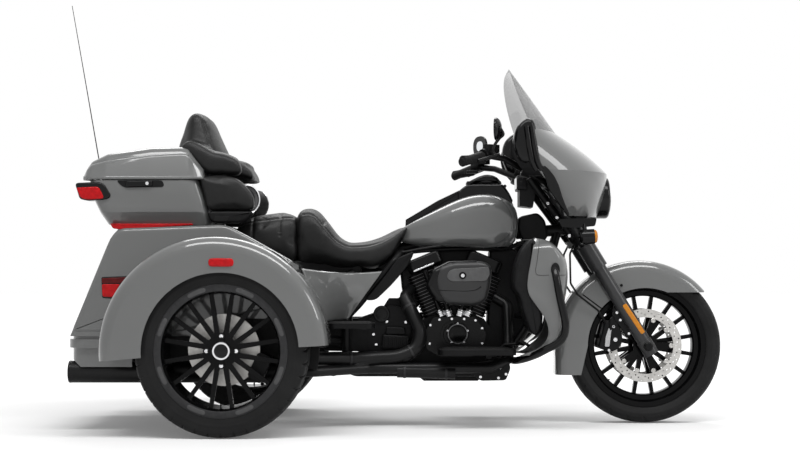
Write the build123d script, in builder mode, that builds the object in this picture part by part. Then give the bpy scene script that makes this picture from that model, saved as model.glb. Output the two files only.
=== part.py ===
"""Touring trike: one steered front wheel on a raked fork, two driven rear wheels under wide fenders,
a V-twin engine in a tube frame, a rear trunk body and a luggage box with a passenger backrest.

Millimetres. +X is forward, +Y is the left side, +Z is up, and the floor is Z = 0.
"""

import os
from math import cos, radians, sin, tan

from build123d import *

os.makedirs("parts", exist_ok=True)

# Overall sizes
WHEELBASE = 1670
FRONT_TYRE_R = 319
REAR_TYRE_R = 325
REAR_TRACK = 1130
ANTENNA_TIP_BACK = 761  # behind the rear axle
LENGTH = FRONT_TYRE_R + WHEELBASE + ANTENNA_TIP_BACK
FRONT_AXLE_X = LENGTH / 2 - FRONT_TYRE_R
REAR_AXLE_X = FRONT_AXLE_X - WHEELBASE
CRANK_X = FRONT_AXLE_X - 783
CRANK_Z = 367

# Fits
SEAT_GAP = 0.3  # between pieces that rest on each other
RUN_GAP = 0.06  # radial, shaft in bearing
MOVE_GAP = 5  # between a lid or door and its frame

# Steering geometry
RAKE = 26
TRAIL = 99
FORK_ANGLE = 31.3
LEG_Y = 118
LOWER_YOKE_Z = 750
UPPER_YOKE_Z = 925
YOKE_THICK = 30
STEM_R = 13
NECK_R = 34
LEG_TUBE_R = 25

# Front wheel
FRONT_AXLE_R = 12.5
FRONT_TYRE_W = 130
FRONT_RIM_R = 240
FRONT_RIM_W = 97
RIM_LIP = 12  # height and width of the tyre's seat flange
RIM_LIP_W = 6
FRONT_HUB_R = 36
FRONT_HUB_W = 124
SPOKE_PAIRS = 8
FRONT_SPOKE_W = 15
FRONT_SPOKE_T = 22
DISC_Y = 70
DISC_T = 5
DISC_R = 150
DISC_INNER_R = 116
CARRIER_ARMS = 5

# Rear wheels
REAR_WHEEL_Y = REAR_TRACK / 2
REAR_TYRE_W = 215
REAR_RIM_R = 229
REAR_RIM_W = 196
REAR_HUB_R = 62
REAR_SPOKE_W = 15
REAR_SPOKE_T = 20
REAR_SPOKE_OUT = 62  # spoke's middle, outboard of the wheel's middle
REAR_LUGS = 4
REAR_LUG_CIRCLE_R = 41
REAR_DISC_R = 136
REAR_DISC_T = 8
REAR_DISC_OUT = -20
HALF_SHAFT_R = 18

# Rear fenders and body
FENDER_SIDE_Y = REAR_WHEEL_Y + 130
FENDER_R = 428
FENDER_CENTRE_BACK = 28  # behind the rear axle
FENDER_WALL = 6
FENDER_SHOULDER_R = 52
FENDER_OPENING_R = 292
FENDER_FRONT_DEG = 3
FENDER_REAR_DEG = 185
BODY_Y = REAR_WHEEL_Y - 135
BODY_WALL = 8

# Luggage box
BOX_BASE_Z = 807
BOX_SEAM_Z = 990
BOX_WALL = 6


def write(piece, node):
    """Label a finished piece and write it as its own STEP file."""
    piece.part.label = node
    export_step(piece.part, f"parts/{node}.step")


def write_left_twin(right_piece, node):
    """Write the left-hand copy of a right-hand piece."""
    with BuildPart() as twin:
        mirror(right_piece.part, about=Plane.XZ)
    write(twin, node)


def tube(points, radius, bend):
    """Round bar along straight runs joined by tangent arcs."""
    with BuildPart() as bar:
        with BuildLine() as route:
            FilletPolyline(*points, radius=bend)
        with BuildSketch(route.line ^ 0):
            Circle(radius)
        sweep()
    return bar.part


def wall_section(plane, outer, inner, outer_bend, inner_bend):
    """Thin-wall slice between two open outlines that have rounded corners."""
    with BuildSketch(plane) as section:
        with BuildLine():
            outside = FilletPolyline(*outer, radius=outer_bend)
            inside = FilletPolyline(*inner, radius=inner_bend)
            Line(outside @ 0, inside @ 0)
            Line(outside @ 1, inside @ 1)
        make_face()
    return section.sketch


def arc_band(level, start, middle, end, wall):
    """Level slice of a curved shell: an arc through three points, and a second arc one wall inside it."""
    mid, first, last = Vector(middle), Vector(start), Vector(end)
    chord = (last - first).normalized()
    inward = ((first + last) / 2 - mid).normalized()
    with BuildSketch(Plane.XY.offset(level)) as band:
        with BuildLine():
            outside = ThreePointArc(first, mid, last)
            inside = ThreePointArc(first + chord * wall, mid + inward * wall, last - chord * wall)
            Line(outside @ 0, inside @ 0)
            Line(outside @ 1, inside @ 1)
        make_face()
    return band.sketch


def rounded_slab(plane, points, bend, depth):
    """Outline with rounded corners, given thickness along its plane's normal."""
    with BuildPart() as slab:
        with BuildSketch(plane):
            with BuildLine():
                FilletPolyline(*points, radius=bend, close=True)
            make_face()
        extrude(amount=depth)
    return slab.part


def radial_plane(centre_x, centre_z, degrees):
    """Plane that holds a crosswise axle and the ray at this angle above straight ahead.
    Its x runs out to the right side, its y along the ray, and its normal the way the angle grows."""
    a = radians(degrees)
    return Plane(origin=(centre_x, 0, centre_z), x_dir=(0, -1, 0), z_dir=(-sin(a), 0, cos(a)))


def spoke_fan(plane, pairs, hub_r, rim_r, width, hub_spread, rim_spread_deg, thick):
    """Pairs of straight spokes: each pair starts close together at the hub and opens towards the rim."""
    half_open = radians(rim_spread_deg)
    with BuildPart() as fan:
        with BuildSketch(plane):
            for side in (-1, 1):
                hub_mid = side * hub_spread
                rim_mid = side * rim_r * sin(half_open)
                reach = rim_r * cos(half_open)
                with PolarLocations(0, pairs):
                    Polygon(
                        (hub_r, hub_mid - width * 0.7),
                        (reach, rim_mid - width / 2),
                        (reach, rim_mid + width / 2),
                        (hub_r, hub_mid + width * 0.7),
                        align=None,
                    )
        extrude(amount=thick / 2, both=True)
    return fan.part


# Steering axis and fork leg lines
AXIS_UP = Vector(-sin(radians(RAKE)), 0, cos(radians(RAKE)))
AXIS_AHEAD = Vector(cos(radians(RAKE)), 0, sin(radians(RAKE)))
AXIS_FOOT = Vector(FRONT_AXLE_X + TRAIL - LOWER_YOKE_Z * tan(radians(RAKE)), 0, LOWER_YOKE_Z)
YOKE_RISE = (UPPER_YOKE_Z - LOWER_YOKE_Z) / cos(radians(RAKE))
LEG_UP = Vector(-sin(radians(FORK_ANGLE)), 0, cos(radians(FORK_ANGLE)))
LEG_AHEAD = Vector(cos(radians(FORK_ANGLE)), 0, sin(radians(FORK_ANGLE)))
LEG_FOOT = Vector(FRONT_AXLE_X, -LEG_Y, FRONT_TYRE_R)


def steering_plane(rise):
    """Plane square to the steering axis, this far up it from the lower yoke."""
    return Plane(origin=AXIS_FOOT + AXIS_UP * rise, x_dir=AXIS_AHEAD, z_dir=AXIS_UP)


def leg_plane(up):
    """Plane square to the right fork leg, this far up it from the axle."""
    return Plane(origin=LEG_FOOT + LEG_UP * up, x_dir=LEG_AHEAD, z_dir=LEG_UP)


def leg_ahead_of_axis(rise):
    """How far ahead of the steering axis a fork leg crosses the plane at this rise."""
    start = LEG_FOOT - AXIS_FOOT
    along = (rise - start.dot(AXIS_UP)) / LEG_UP.dot(AXIS_UP)
    return (start + LEG_UP * along).dot(AXIS_AHEAD)


# Front wheel: tyre, cast wheel with paired spokes, and two brake discs on star carriers
FRONT_AXLE_AXIS = Axis((FRONT_AXLE_X, 0, FRONT_TYRE_R), (0, 1, 0))
front_cross = Plane(origin=(FRONT_AXLE_X, 0, FRONT_TYRE_R), x_dir=(0, 1, 0), z_dir=(1, 0, 0))
front_side = Plane(origin=(FRONT_AXLE_X, 0, FRONT_TYRE_R), x_dir=(1, 0, 0), z_dir=(0, -1, 0))

with BuildPart() as front_tyre:
    bead_y, bead_r = FRONT_RIM_W / 2, FRONT_RIM_R + SEAT_GAP
    lip_y, lip_r = bead_y + RIM_LIP_W, FRONT_RIM_R + RIM_LIP + SEAT_GAP
    wide_y = FRONT_TYRE_W / 2
    with BuildSketch(front_cross):
        with BuildLine():
            Polyline((-lip_y, lip_r), (-bead_y, lip_r), (-bead_y, bead_r))
            Line((-bead_y, bead_r), (bead_y, bead_r))
            Polyline((bead_y, bead_r), (bead_y, lip_r), (lip_y, lip_r))
            ThreePointArc((lip_y, lip_r), (wide_y, lip_r + 22), (wide_y - 6, FRONT_TYRE_R - 28))
            ThreePointArc((wide_y - 6, FRONT_TYRE_R - 28), (0, FRONT_TYRE_R), (6 - wide_y, FRONT_TYRE_R - 28))
            ThreePointArc((6 - wide_y, FRONT_TYRE_R - 28), (-wide_y, lip_r + 22), (-lip_y, lip_r))
        make_face()
    revolve(axis=FRONT_AXLE_AXIS)
write(front_tyre, "front_tyre")


def rim_ring(plane, axis, rim_r, rim_w, well):
    """Wheel barrel with a flange at each edge that holds the tyre's bead."""
    edge = rim_w / 2
    with BuildPart() as ring:
        with BuildSketch(plane):
            Polygon(
                (-edge - RIM_LIP_W, rim_r - well / 2),
                (-edge - RIM_LIP_W, rim_r + RIM_LIP),
                (-edge - SEAT_GAP, rim_r + RIM_LIP),
                (-edge - SEAT_GAP, rim_r),
                (edge + SEAT_GAP, rim_r),
                (edge + SEAT_GAP, rim_r + RIM_LIP),
                (edge + RIM_LIP_W, rim_r + RIM_LIP),
                (edge + RIM_LIP_W, rim_r - well / 2),
                (edge - well, rim_r - well),
                (well - edge, rim_r - well),
                align=None,
            )
        revolve(axis=axis)
    return ring.part


FRONT_WELL = 16
with BuildPart() as front_wheel:
    add(rim_ring(front_cross, FRONT_AXLE_AXIS, FRONT_RIM_R, FRONT_RIM_W, FRONT_WELL))
    add(
        spoke_fan(
            front_side, SPOKE_PAIRS, FRONT_HUB_R - 6, FRONT_RIM_R - FRONT_WELL + 3,
            FRONT_SPOKE_W, 9, 10.5, FRONT_SPOKE_T,
        )
    )
    with BuildSketch(front_side):
        Circle(FRONT_HUB_R)
    extrude(amount=FRONT_HUB_W / 2, both=True)
    carrier_y = DISC_Y - DISC_T
    for face in (-1, 1):
        with BuildSketch(front_side.offset(face * DISC_Y)):
            Circle(FRONT_HUB_R + 14)
            with PolarLocations((DISC_INNER_R + FRONT_HUB_R) / 2, CARRIER_ARMS):
                Rectangle(DISC_INNER_R - FRONT_HUB_R, 26)
            Circle(DISC_INNER_R - SEAT_GAP, mode=Mode.INTERSECT)
        extrude(amount=-face * 2 * DISC_T)
    with BuildSketch(front_side):
        Circle(FRONT_AXLE_R + RUN_GAP)
    extrude(amount=DISC_Y + DISC_T, both=True, mode=Mode.SUBTRACT)
write(front_wheel, "front_wheel")

DISC_HOLES = ((126, 20), (133, 20), (141, 20))  # (radius of the ring of holes, holes in it)
with BuildPart() as front_discs:
    with BuildSketch(front_side.offset(DISC_Y - DISC_T)):
        Circle(DISC_R)
        Circle(DISC_INNER_R, mode=Mode.SUBTRACT)
        for ring, (hole_ring_r, holes) in enumerate(DISC_HOLES):
            with PolarLocations(hole_ring_r, holes, start_angle=ring * 6):
                Circle(3, mode=Mode.SUBTRACT)
    extrude(amount=DISC_T)
    mirror(about=Plane.XZ)
write(front_discs, "front_discs")

# Rear wheels: made for the right side, outboard is -Y, and copied to the left
REAR_AXLE_AXIS = Axis((REAR_AXLE_X, 0, REAR_TYRE_R), (0, 1, 0))
rear_cross = Plane(origin=(REAR_AXLE_X, -REAR_WHEEL_Y, REAR_TYRE_R), x_dir=(0, 1, 0), z_dir=(1, 0, 0))
rear_side = Plane(origin=(REAR_AXLE_X, -REAR_WHEEL_Y, REAR_TYRE_R), x_dir=(1, 0, 0), z_dir=(0, -1, 0))

with BuildPart() as right_rear_tyre:
    bead_y, bead_r = REAR_RIM_W / 2, REAR_RIM_R + SEAT_GAP
    lip_y, lip_r = bead_y + RIM_LIP_W, REAR_RIM_R + RIM_LIP + SEAT_GAP
    wide_y = REAR_TYRE_W / 2
    shoulder_y, shoulder_r = wide_y - 14, REAR_TYRE_R - 12
    with BuildSketch(rear_cross):
        with BuildLine():
            Polyline((-lip_y, lip_r), (-bead_y, lip_r), (-bead_y, bead_r))
            Line((-bead_y, bead_r), (bead_y, bead_r))
            Polyline((bead_y, bead_r), (bead_y, lip_r), (lip_y, lip_r))
            ThreePointArc((lip_y, lip_r), (wide_y, lip_r + 28), (shoulder_y, shoulder_r))
            ThreePointArc((shoulder_y, shoulder_r), (0, REAR_TYRE_R), (-shoulder_y, shoulder_r))
            ThreePointArc((-shoulder_y, shoulder_r), (-wide_y, lip_r + 28), (-lip_y, lip_r))
        make_face()
    revolve(axis=REAR_AXLE_AXIS)
write(right_rear_tyre, "right_rear_tyre")
write_left_twin(right_rear_tyre, "left_rear_tyre")

REAR_WELL = 14
HUB_INNER = -70  # inboard end of the wheel's hub
with BuildPart() as right_rear_wheel:
    add(rim_ring(rear_cross, REAR_AXLE_AXIS, REAR_RIM_R, REAR_RIM_W, REAR_WELL))
    spokes_mid = rear_side.offset(REAR_SPOKE_OUT)
    add(
        spoke_fan(
            spokes_mid, SPOKE_PAIRS, REAR_HUB_R - 20, REAR_RIM_R - REAR_WELL + 3,
            REAR_SPOKE_W, 13, 10.5, REAR_SPOKE_T,
        )
    )
    with BuildSketch(rear_side.offset(HUB_INNER)):
        Circle(REAR_HUB_R)
    extrude(amount=REAR_SPOKE_OUT - HUB_INNER + REAR_SPOKE_T / 2)
    with BuildSketch(rear_side.offset(REAR_SPOKE_OUT)):
        Circle(REAR_HUB_R * 0.42)
        with PolarLocations(REAR_LUG_CIRCLE_R, REAR_LUGS):
            RegularPolygon(11, 6)
    extrude(amount=REAR_SPOKE_T / 2 + 12)
    with BuildSketch(rear_side.offset(HUB_INNER)):
        Circle(HALF_SHAFT_R + RUN_GAP)
    extrude(amount=REAR_SPOKE_OUT - HUB_INNER, mode=Mode.SUBTRACT)
write(right_rear_wheel, "right_rear_wheel")
write_left_twin(right_rear_wheel, "left_rear_wheel")

with BuildPart() as right_rear_disc:
    with BuildSketch(rear_side.offset(REAR_DISC_OUT)):
        Circle(REAR_DISC_R)
        Circle(REAR_HUB_R + SEAT_GAP, mode=Mode.SUBTRACT)
    extrude(amount=REAR_DISC_T)
write(right_rear_disc, "right_rear_disc")
write_left_twin(right_rear_disc, "left_rear_disc")

# Fork: two legs that clamp the front axle, and two yokes joined by the stem
# Lengths are measured up the leg from the axle: (from, to, radius)
LEG_STEPS = (
    (-38, 26, 31),  # axle clamp
    (26, 372, 28),  # slider
    (372, 480, 37),  # lower cover
    (480, 745, LEG_TUBE_R),  # stanchion through both yokes
)
with BuildPart() as fork_legs:
    for low, high, radius in LEG_STEPS:
        with BuildSketch(leg_plane(low)):
            Circle(radius)
        extrude(amount=high - low)
    mirror(about=Plane.XZ)
    with BuildSketch(front_side):
        Circle(FRONT_AXLE_R)
    extrude(amount=LEG_Y + 34, both=True)
write(fork_legs, "fork_legs")

YOKE_BOSS_R = 40
STAY_Y = 78  # stays that carry the dash
FAIRING_STAY_R = 16
FAIRING_STAY = ((-290, 108, 744), (-478, 132, 1004))  # (ahead of the front axle, out, height)
DASH_FOOT_Z = 1000
with BuildPart() as fork_yokes:
    for rise in (0, YOKE_RISE):
        ahead = leg_ahead_of_axis(rise)
        with BuildSketch(steering_plane(rise - YOKE_THICK / 2)):
            with BuildLine():
                for y in (-LEG_Y, LEG_Y):
                    with Locations((ahead, y)):
                        CenterArc((ahead, y), YOKE_BOSS_R, 0, 360)
                CenterArc((0, 0), YOKE_BOSS_R + 6, 0, 360)
            make_hull()
        extrude(amount=YOKE_THICK)
    with BuildSketch(steering_plane(0)):
        Circle(STEM_R)
    extrude(amount=YOKE_RISE)
    for y in (-STAY_Y, STAY_Y):
        with BuildSketch(Plane.XY.offset(UPPER_YOKE_Z)):
            with Locations((FRONT_AXLE_X - 362, y)):
                RectangleRounded(34, 22, 5)
        extrude(amount=DASH_FOOT_Z - SEAT_GAP - UPPER_YOKE_Z)
    for side in (-1, 1):
        low, high = [Vector(FRONT_AXLE_X + ahead, side * out, height) for ahead, out, height in FAIRING_STAY]
        with BuildSketch(Plane(low, x_dir=(0, 1, 0), z_dir=high - low)):
            Circle(FAIRING_STAY_R)
        extrude(amount=(high - low).length)
    bore = leg_plane(LEG_STEPS[2][1])
    with BuildSketch(bore):
        Circle(LEG_TUBE_R + SEAT_GAP)
    extrude(amount=400, mode=Mode.SUBTRACT)
    with BuildSketch(Plane(bore.origin + Vector(0, 2 * LEG_Y, 0), x_dir=bore.x_dir, z_dir=bore.z_dir)):
        Circle(LEG_TUBE_R + SEAT_GAP)
    extrude(amount=400, mode=Mode.SUBTRACT)
write(fork_yokes, "fork_yokes")

# Front fender: a wrapped mudguard with deep side skirts, from ahead of the fork to low behind the wheel
GUARD_Y = 84
GUARD_R = 349
GUARD_WALL = 4
GUARD_SHOULDER_R = 46
GUARD_CENTRE_BACK = 18  # behind the front axle
GUARD_FRONT_DEG = 40
GUARD_TAIL = 120  # straight length below the axle's height
GUARD_SKIRT_R = 190
GUARD_OPENING_R = 236
GUARD_FRONT_EDGE_Z = 537
GUARD_FRONT_EDGE_BACK = 99
GUARD_BOSS_UP = 275  # bolting bosses, up the fork leg
guard_x = FRONT_AXLE_X - GUARD_CENTRE_BACK


def guard_slice(degrees):
    """Slice of the front fender: a crown and two side skirts."""
    inner_y, inner_r = GUARD_Y - GUARD_WALL, GUARD_R - GUARD_WALL
    return wall_section(
        radial_plane(guard_x, FRONT_TYRE_R, degrees),
        [(-GUARD_Y, GUARD_SKIRT_R), (-GUARD_Y, GUARD_R), (GUARD_Y, GUARD_R), (GUARD_Y, GUARD_SKIRT_R)],
        [(-inner_y, GUARD_SKIRT_R), (-inner_y, inner_r), (inner_y, inner_r), (inner_y, GUARD_SKIRT_R)],
        GUARD_SHOULDER_R,
        GUARD_SHOULDER_R - GUARD_WALL,
    )


with BuildPart() as front_fender:
    add(guard_slice(GUARD_FRONT_DEG))
    revolve(
        axis=Axis((guard_x, 0, FRONT_TYRE_R), (0, -1, 0)),
        revolution_arc=180 - GUARD_FRONT_DEG,
    )
    add(guard_slice(180))
    extrude(amount=-GUARD_TAIL)
    with BuildSketch(front_side):
        Circle(GUARD_OPENING_R)
        with BuildLine():
            Polyline(
                (-GUARD_OPENING_R, 0),
                (-GUARD_OPENING_R - 28, -GUARD_TAIL - 1),
                (0, -GUARD_TAIL - 1),
                (0, 0),
                close=True,
            )
        make_face()
        with Locations((-GUARD_FRONT_EDGE_BACK, GUARD_FRONT_EDGE_Z - FRONT_TYRE_R)):
            Rectangle(600, 600, align=(Align.MIN, Align.MAX))
    extrude(amount=GUARD_Y + 10, both=True, mode=Mode.SUBTRACT)
    boss = leg_plane(GUARD_BOSS_UP).origin
    with BuildSketch(front_side.offset(LEG_Y - LEG_STEPS[1][2] - SEAT_GAP)):
        with Locations(Location((boss.X - FRONT_AXLE_X, boss.Z - FRONT_TYRE_R, 0), FORK_ANGLE)):
            RectangleRounded(34, 70, 8)
    extrude(amount=-10)
    with BuildSketch(front_side.offset(SEAT_GAP + LEG_STEPS[1][2] - LEG_Y)):
        with Locations(Location((boss.X - FRONT_AXLE_X, boss.Z - FRONT_TYRE_R, 0), FORK_ANGLE)):
            RectangleRounded(34, 70, 8)
    extrude(amount=10)
write(front_fender, "front_fender")

# Front brake calipers, clamped round the discs behind the fork legs
CALIPER_BACK, CALIPER_UP = 148, 40
with BuildPart() as front_calipers:
    with BuildSketch(front_side.offset(DISC_Y - 32)):
        with Locations(Location((-CALIPER_BACK, CALIPER_UP, 0), 15)):
            RectangleRounded(70, 122, 22)
    extrude(amount=62)
    fillet(front_calipers.faces().sort_by(Axis.Y)[0].edges(), 9)
    with BuildSketch(front_side.offset(DISC_Y - DISC_T - MOVE_GAP)):
        Circle(DISC_R + MOVE_GAP)
    extrude(amount=DISC_T + 2 * MOVE_GAP, mode=Mode.SUBTRACT)
    with BuildSketch(front_side.offset(LEG_Y - 40)):
        with BuildLine():
            Polyline((-150, 60), (-150, 110), (-96, 150), (-60, 120), close=True)
        make_face()
    extrude(amount=24)
    for low, high, radius in LEG_STEPS:
        with BuildSketch(leg_plane(low)):
            Circle(radius + SEAT_GAP)
        extrude(amount=high - low, mode=Mode.SUBTRACT)
    mirror(about=Plane.XZ)
write(front_calipers, "front_calipers")

# Fork-mounted fairing: outer shell, inner dash, windshield and headlamp
# Distances ahead of and behind the front axle: (height, side edge, nose, half width)
FAIRING_WALL = 5
FAIRING_LOWER = (
    (846, -345, -190, 215),
    (935, -395, -158, 312),
    (1022, -466, -148, 380),
)
FAIRING_UPPER = (
    (1022, -466, -148, 380),
    (1105, -486, -240, 396),
    (1184, -486, -358, 386),
)


def fairing_slice(height, side, nose, half, wall):
    """Level slice of the fairing's shell."""
    x = FRONT_AXLE_X
    return arc_band(height, (x + side, -half), (x + nose, 0), (x + side, half), wall)


HEADLAMP_Z = 928
HEADLAMP_R = 86
HEADLAMP_FRONT = -140
HEADLAMP_DEPTH = 90
headlamp_face = Plane(
    origin=(FRONT_AXLE_X + HEADLAMP_FRONT, 0, HEADLAMP_Z), x_dir=(0, 1, 0), z_dir=(1, 0, 0)
)
with BuildPart() as fairing_outer:
    for rows in (FAIRING_LOWER, FAIRING_UPPER):
        loft([fairing_slice(*row, FAIRING_WALL) for row in rows])
    with BuildSketch(headlamp_face):
        Circle(HEADLAMP_R + SEAT_GAP)
    extrude(amount=-HEADLAMP_DEPTH - 60, mode=Mode.SUBTRACT)
write(fairing_outer, "fairing_outer")

with BuildPart() as headlamp:
    with BuildSketch(headlamp_face.offset(-HEADLAMP_DEPTH)):
        Circle(HEADLAMP_R)
    extrude(amount=HEADLAMP_DEPTH)
    fillet(headlamp.edges().filter_by(GeomType.CIRCLE).sort_by(Axis.X)[-1], 14)
write(headlamp, "headlamp")

# Windshield: (height, side edge, middle, half width), as in the fairing
WINDSHIELD_T = 5
WINDSHIELD = (
    (1184 + SEAT_GAP, -486, -358, 386),
    (1300, -530, -440, 318),
    (1400, -556, -512, 232),
    (1453, -558, -552, 96),
)
with BuildPart() as windshield:
    loft([fairing_slice(*row, WINDSHIELD_T) for row in WINDSHIELD])
write(windshield, "windshield")

# Handlebar, from its clamp on the upper yoke out to the grips: (behind the front axle, out, height)
BAR_R = 13
BAR_BEND = 45
BAR_ROUTE = ((-398, 70, 976), (-425, 150, 990), (-592, 300, 1070), (-672, 350, 1080), (-764, 432, 1045))
GRIP_R = 18
GRIP_LENGTH = 122
bar_right = [Vector(FRONT_AXLE_X + back, -out, height) for back, out, height in BAR_ROUTE]
bar_points = bar_right[::-1] + [Vector(p.X, -p.Y, p.Z) for p in bar_right]
grip_end, grip_bend = bar_right[-1], bar_right[-2]
grip_way = (grip_end - grip_bend).normalized()
RISER_R = 18
with BuildPart() as handlebar:
    add(tube(bar_points, BAR_R, BAR_BEND))
    yoke_top = steering_plane(YOKE_RISE + YOKE_THICK / 2 + SEAT_GAP)
    for y in (-45, 45):
        foot = yoke_top.origin + Vector(0, y, 0)
        head = Vector(bar_right[0].X, y, bar_right[0].Z)
        with BuildSketch(Plane(foot, x_dir=(0, 1, 0), z_dir=head - foot)):
            Circle(RISER_R)
        extrude(amount=(head - foot).length)
    split(bisect_by=yoke_top, keep=Keep.TOP)
write(handlebar, "handlebar")

with BuildPart() as grips:
    with BuildSketch(Plane(grip_end + grip_way * 4, x_dir=(0, 0, 1), z_dir=grip_way * -1)):
        Circle(GRIP_R)
    extrude(amount=GRIP_LENGTH)
    fillet(grips.edges().filter_by(GeomType.CIRCLE), 4)
    add(tube(bar_points, BAR_R + SEAT_GAP, BAR_BEND), mode=Mode.SUBTRACT)
    mirror(about=Plane.XZ)
write(grips, "grips")

# Switch housing, fluid reservoir and lever beside each grip
HOUSING_R = 25
HOUSING_LENGTH = 40
housing_start = grip_end + grip_way * (3 - GRIP_LENGTH)
LEVER_AHEAD = 62
with BuildPart() as hand_controls:
    housing_plane = Plane(housing_start, x_dir=(0, 0, 1), z_dir=grip_way * -1)
    with BuildSketch(housing_plane):
        Circle(HOUSING_R)
    extrude(amount=HOUSING_LENGTH)
    add(
        tube(
            [
                housing_start - grip_way * 20 + Vector(10, 5, 0),
                housing_start - grip_way * 20 + Vector(LEVER_AHEAD, -10, 2),
                grip_end + Vector(LEVER_AHEAD, -6, 4),
            ],
            7,
            16,
        )
    )
    with BuildSketch(Plane.XY.offset(housing_start.Z + 14)):
        with Locations(Location((housing_start.X + 34, housing_start.Y + 26, 0), 40)):
            RectangleRounded(62, 40, 8)
    extrude(amount=30)
    add(tube(bar_points, BAR_R + SEAT_GAP, BAR_BEND), mode=Mode.SUBTRACT)
    mirror(about=Plane.XZ)
write(hand_controls, "hand_controls")

# Mirrors: an oval head on a cranked stem that stands on the hand control
MIRROR_HEAD = Vector(FRONT_AXLE_X - 648, -408, 1176)
MIRROR_W, MIRROR_H, MIRROR_T = 128, 92, 22
with BuildPart() as mirrors:
    facing = Plane(MIRROR_HEAD, x_dir=(0.16, -1, 0), z_dir=(-1, -0.16, 0))
    with BuildSketch(facing):
        SlotOverall(MIRROR_W, MIRROR_H)
    extrude(amount=MIRROR_T / 2, both=True)
    fillet(mirrors.faces().sort_by(Axis.X)[-1].edges(), 9)
    stem_foot = Vector(housing_start.X + 34, housing_start.Y + 26, housing_start.Z + 44 + SEAT_GAP)
    add(tube([stem_foot, Vector(stem_foot.X, stem_foot.Y, MIRROR_HEAD.Z), MIRROR_HEAD + Vector(6, 4, 0)], 6, 14))
    mirror(about=Plane.XZ)
write(mirrors, "mirrors")

# Inner fairing: the dash behind the shell, with a bulged pod each side
# (height, pod's rear edge, dash's rear middle, shell side edge, dash's front middle, shell half width)
DASH = (
    (DASH_FOOT_Z, -500, -400, -448, -330, 362),
    (1100, -562, -440, -485, -390, 395),
    (1190, -540, -462, -486, -420, 376),
)
POD_IN = 34
# Switch box that hangs from the dash behind the bar: (ahead of the front axle, height)
SWITCH_BOX = ((-512, 892), (-458, 886), (-444, 960), (-396, 1008), (-396, 1050), (-450, 1050), (-512, 1004))
SWITCH_BOX_Y = 64


def dash_slice(height, pod_rear, dash_rear, side, dash_front, half):
    """Level slice of the dash between two arcs, from one edge of the shell to the other."""
    x, edge = FRONT_AXLE_X, half - FAIRING_WALL - SEAT_GAP
    with BuildSketch(Plane.XY.offset(height)) as band:
        with BuildLine():
            front = ThreePointArc((x + side, -edge), (x + dash_front, 0), (x + side, edge))
            rear = ThreePointArc((x + pod_rear, POD_IN - edge), (x + dash_rear, 0), (x + pod_rear, edge - POD_IN))
            Line(front @ 0, rear @ 0)
            Line(front @ 1, rear @ 1)
        make_face()
    return band.sketch


with BuildPart() as fairing_inner:
    loft([dash_slice(*row) for row in DASH])
    for rows in (FAIRING_LOWER, FAIRING_UPPER):
        loft([fairing_slice(*row, FAIRING_WALL + SEAT_GAP) for row in rows], mode=Mode.SUBTRACT)
    loft([fairing_slice(*row, WINDSHIELD_T + SEAT_GAP) for row in WINDSHIELD], mode=Mode.SUBTRACT)
    with BuildSketch(Plane.XZ):
        Polygon(*[(FRONT_AXLE_X + ahead, height) for ahead, height in SWITCH_BOX], align=None)
    extrude(amount=SWITCH_BOX_Y, both=True)
    add(tube(bar_points, BAR_R + 12, BAR_BEND), mode=Mode.SUBTRACT)
    for side in (-1, 1):
        low, high = [Vector(FRONT_AXLE_X + ahead, side * out, height) for ahead, out, height in FAIRING_STAY]
        with BuildSketch(Plane(low, x_dir=(0, 1, 0), z_dir=high - low)):
            Circle(FAIRING_STAY_R + SEAT_GAP)
        extrude(amount=(high - low).length + SEAT_GAP, mode=Mode.SUBTRACT)
write(fairing_inner, "fairing_inner")

# Main frame: neck, backbone, twin cradle tubes and the rails that carry the rear body
FRAME_R = 17
BACKBONE_R = 24
CRADLE_Y = 150
CRADLE_Z = 215
SEAT_BASE_Z = 640
BODY_FLOOR_Z = 440
seat_rail_z = SEAT_BASE_Z - SEAT_GAP - FRAME_R
body_rail_z = BODY_FLOOR_Z - SEAT_GAP - FRAME_R
upright_x = CRANK_X - 440
BACKBONE = (
    (FRONT_AXLE_X - 291, 0, 800),
    (CRANK_X - 40, 0, 754),
    (CRANK_X - 232, 0, 714),
    (CRANK_X - 300, 0, 614),
)
CRADLE = (
    (FRONT_AXLE_X - 350, 0, 792),
    (FRONT_AXLE_X - 380, 52, 700),
    (FRONT_AXLE_X - 470, 110, 420),
    (CRANK_X + 165, 140, CRADLE_Z),
    (upright_x, CRADLE_Y, CRADLE_Z),
    (upright_x, CRADLE_Y, seat_rail_z),
    (CRANK_X - 290, 0, seat_rail_z),
)
STRUT_R = 14
STRUT = (
    (CRANK_X - 218, -6, 698),
    (CRANK_X - 222, 122, 692),
    (CRANK_X - 246, CRADLE_Y - 1, 664),
    (CRANK_X - 395, CRADLE_Y - 1, 482),
    (upright_x + 5, CRADLE_Y - 1, 440),
)
BODY_RAIL = ((upright_x + 6, CRADLE_Y, body_rail_z), (REAR_AXLE_X - 90, CRADLE_Y, body_rail_z))
neck_low = YOKE_THICK / 2 + MOVE_GAP
neck_length = YOKE_RISE - 2 * neck_low


def on_right(points):
    """The same route on the right-hand side."""
    return [(x, -y, z) for x, y, z in points]


def frame_bars(grow):
    """All the frame's tubes as one piece, with this much added to their radius."""
    with BuildPart() as bars:
        add(tube(BACKBONE, BACKBONE_R + grow, 45))
        for side in (CRADLE, on_right(CRADLE)):
            add(tube(side, FRAME_R + grow, 50))
        for side in (STRUT, on_right(STRUT)):
            add(tube(side, STRUT_R + grow, [30, 24, 40]))
        for rail in (BODY_RAIL, on_right(BODY_RAIL)):
            with BuildSketch(Plane(rail[0], x_dir=(0, 1, 0), z_dir=(-1, 0, 0))):
                Circle(FRAME_R + grow)
            extrude(amount=rail[0][0] - rail[1][0])
        with BuildSketch(steering_plane(neck_low)):
            Circle(NECK_R + grow)
        extrude(amount=neck_length)
    return bars.part


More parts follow.
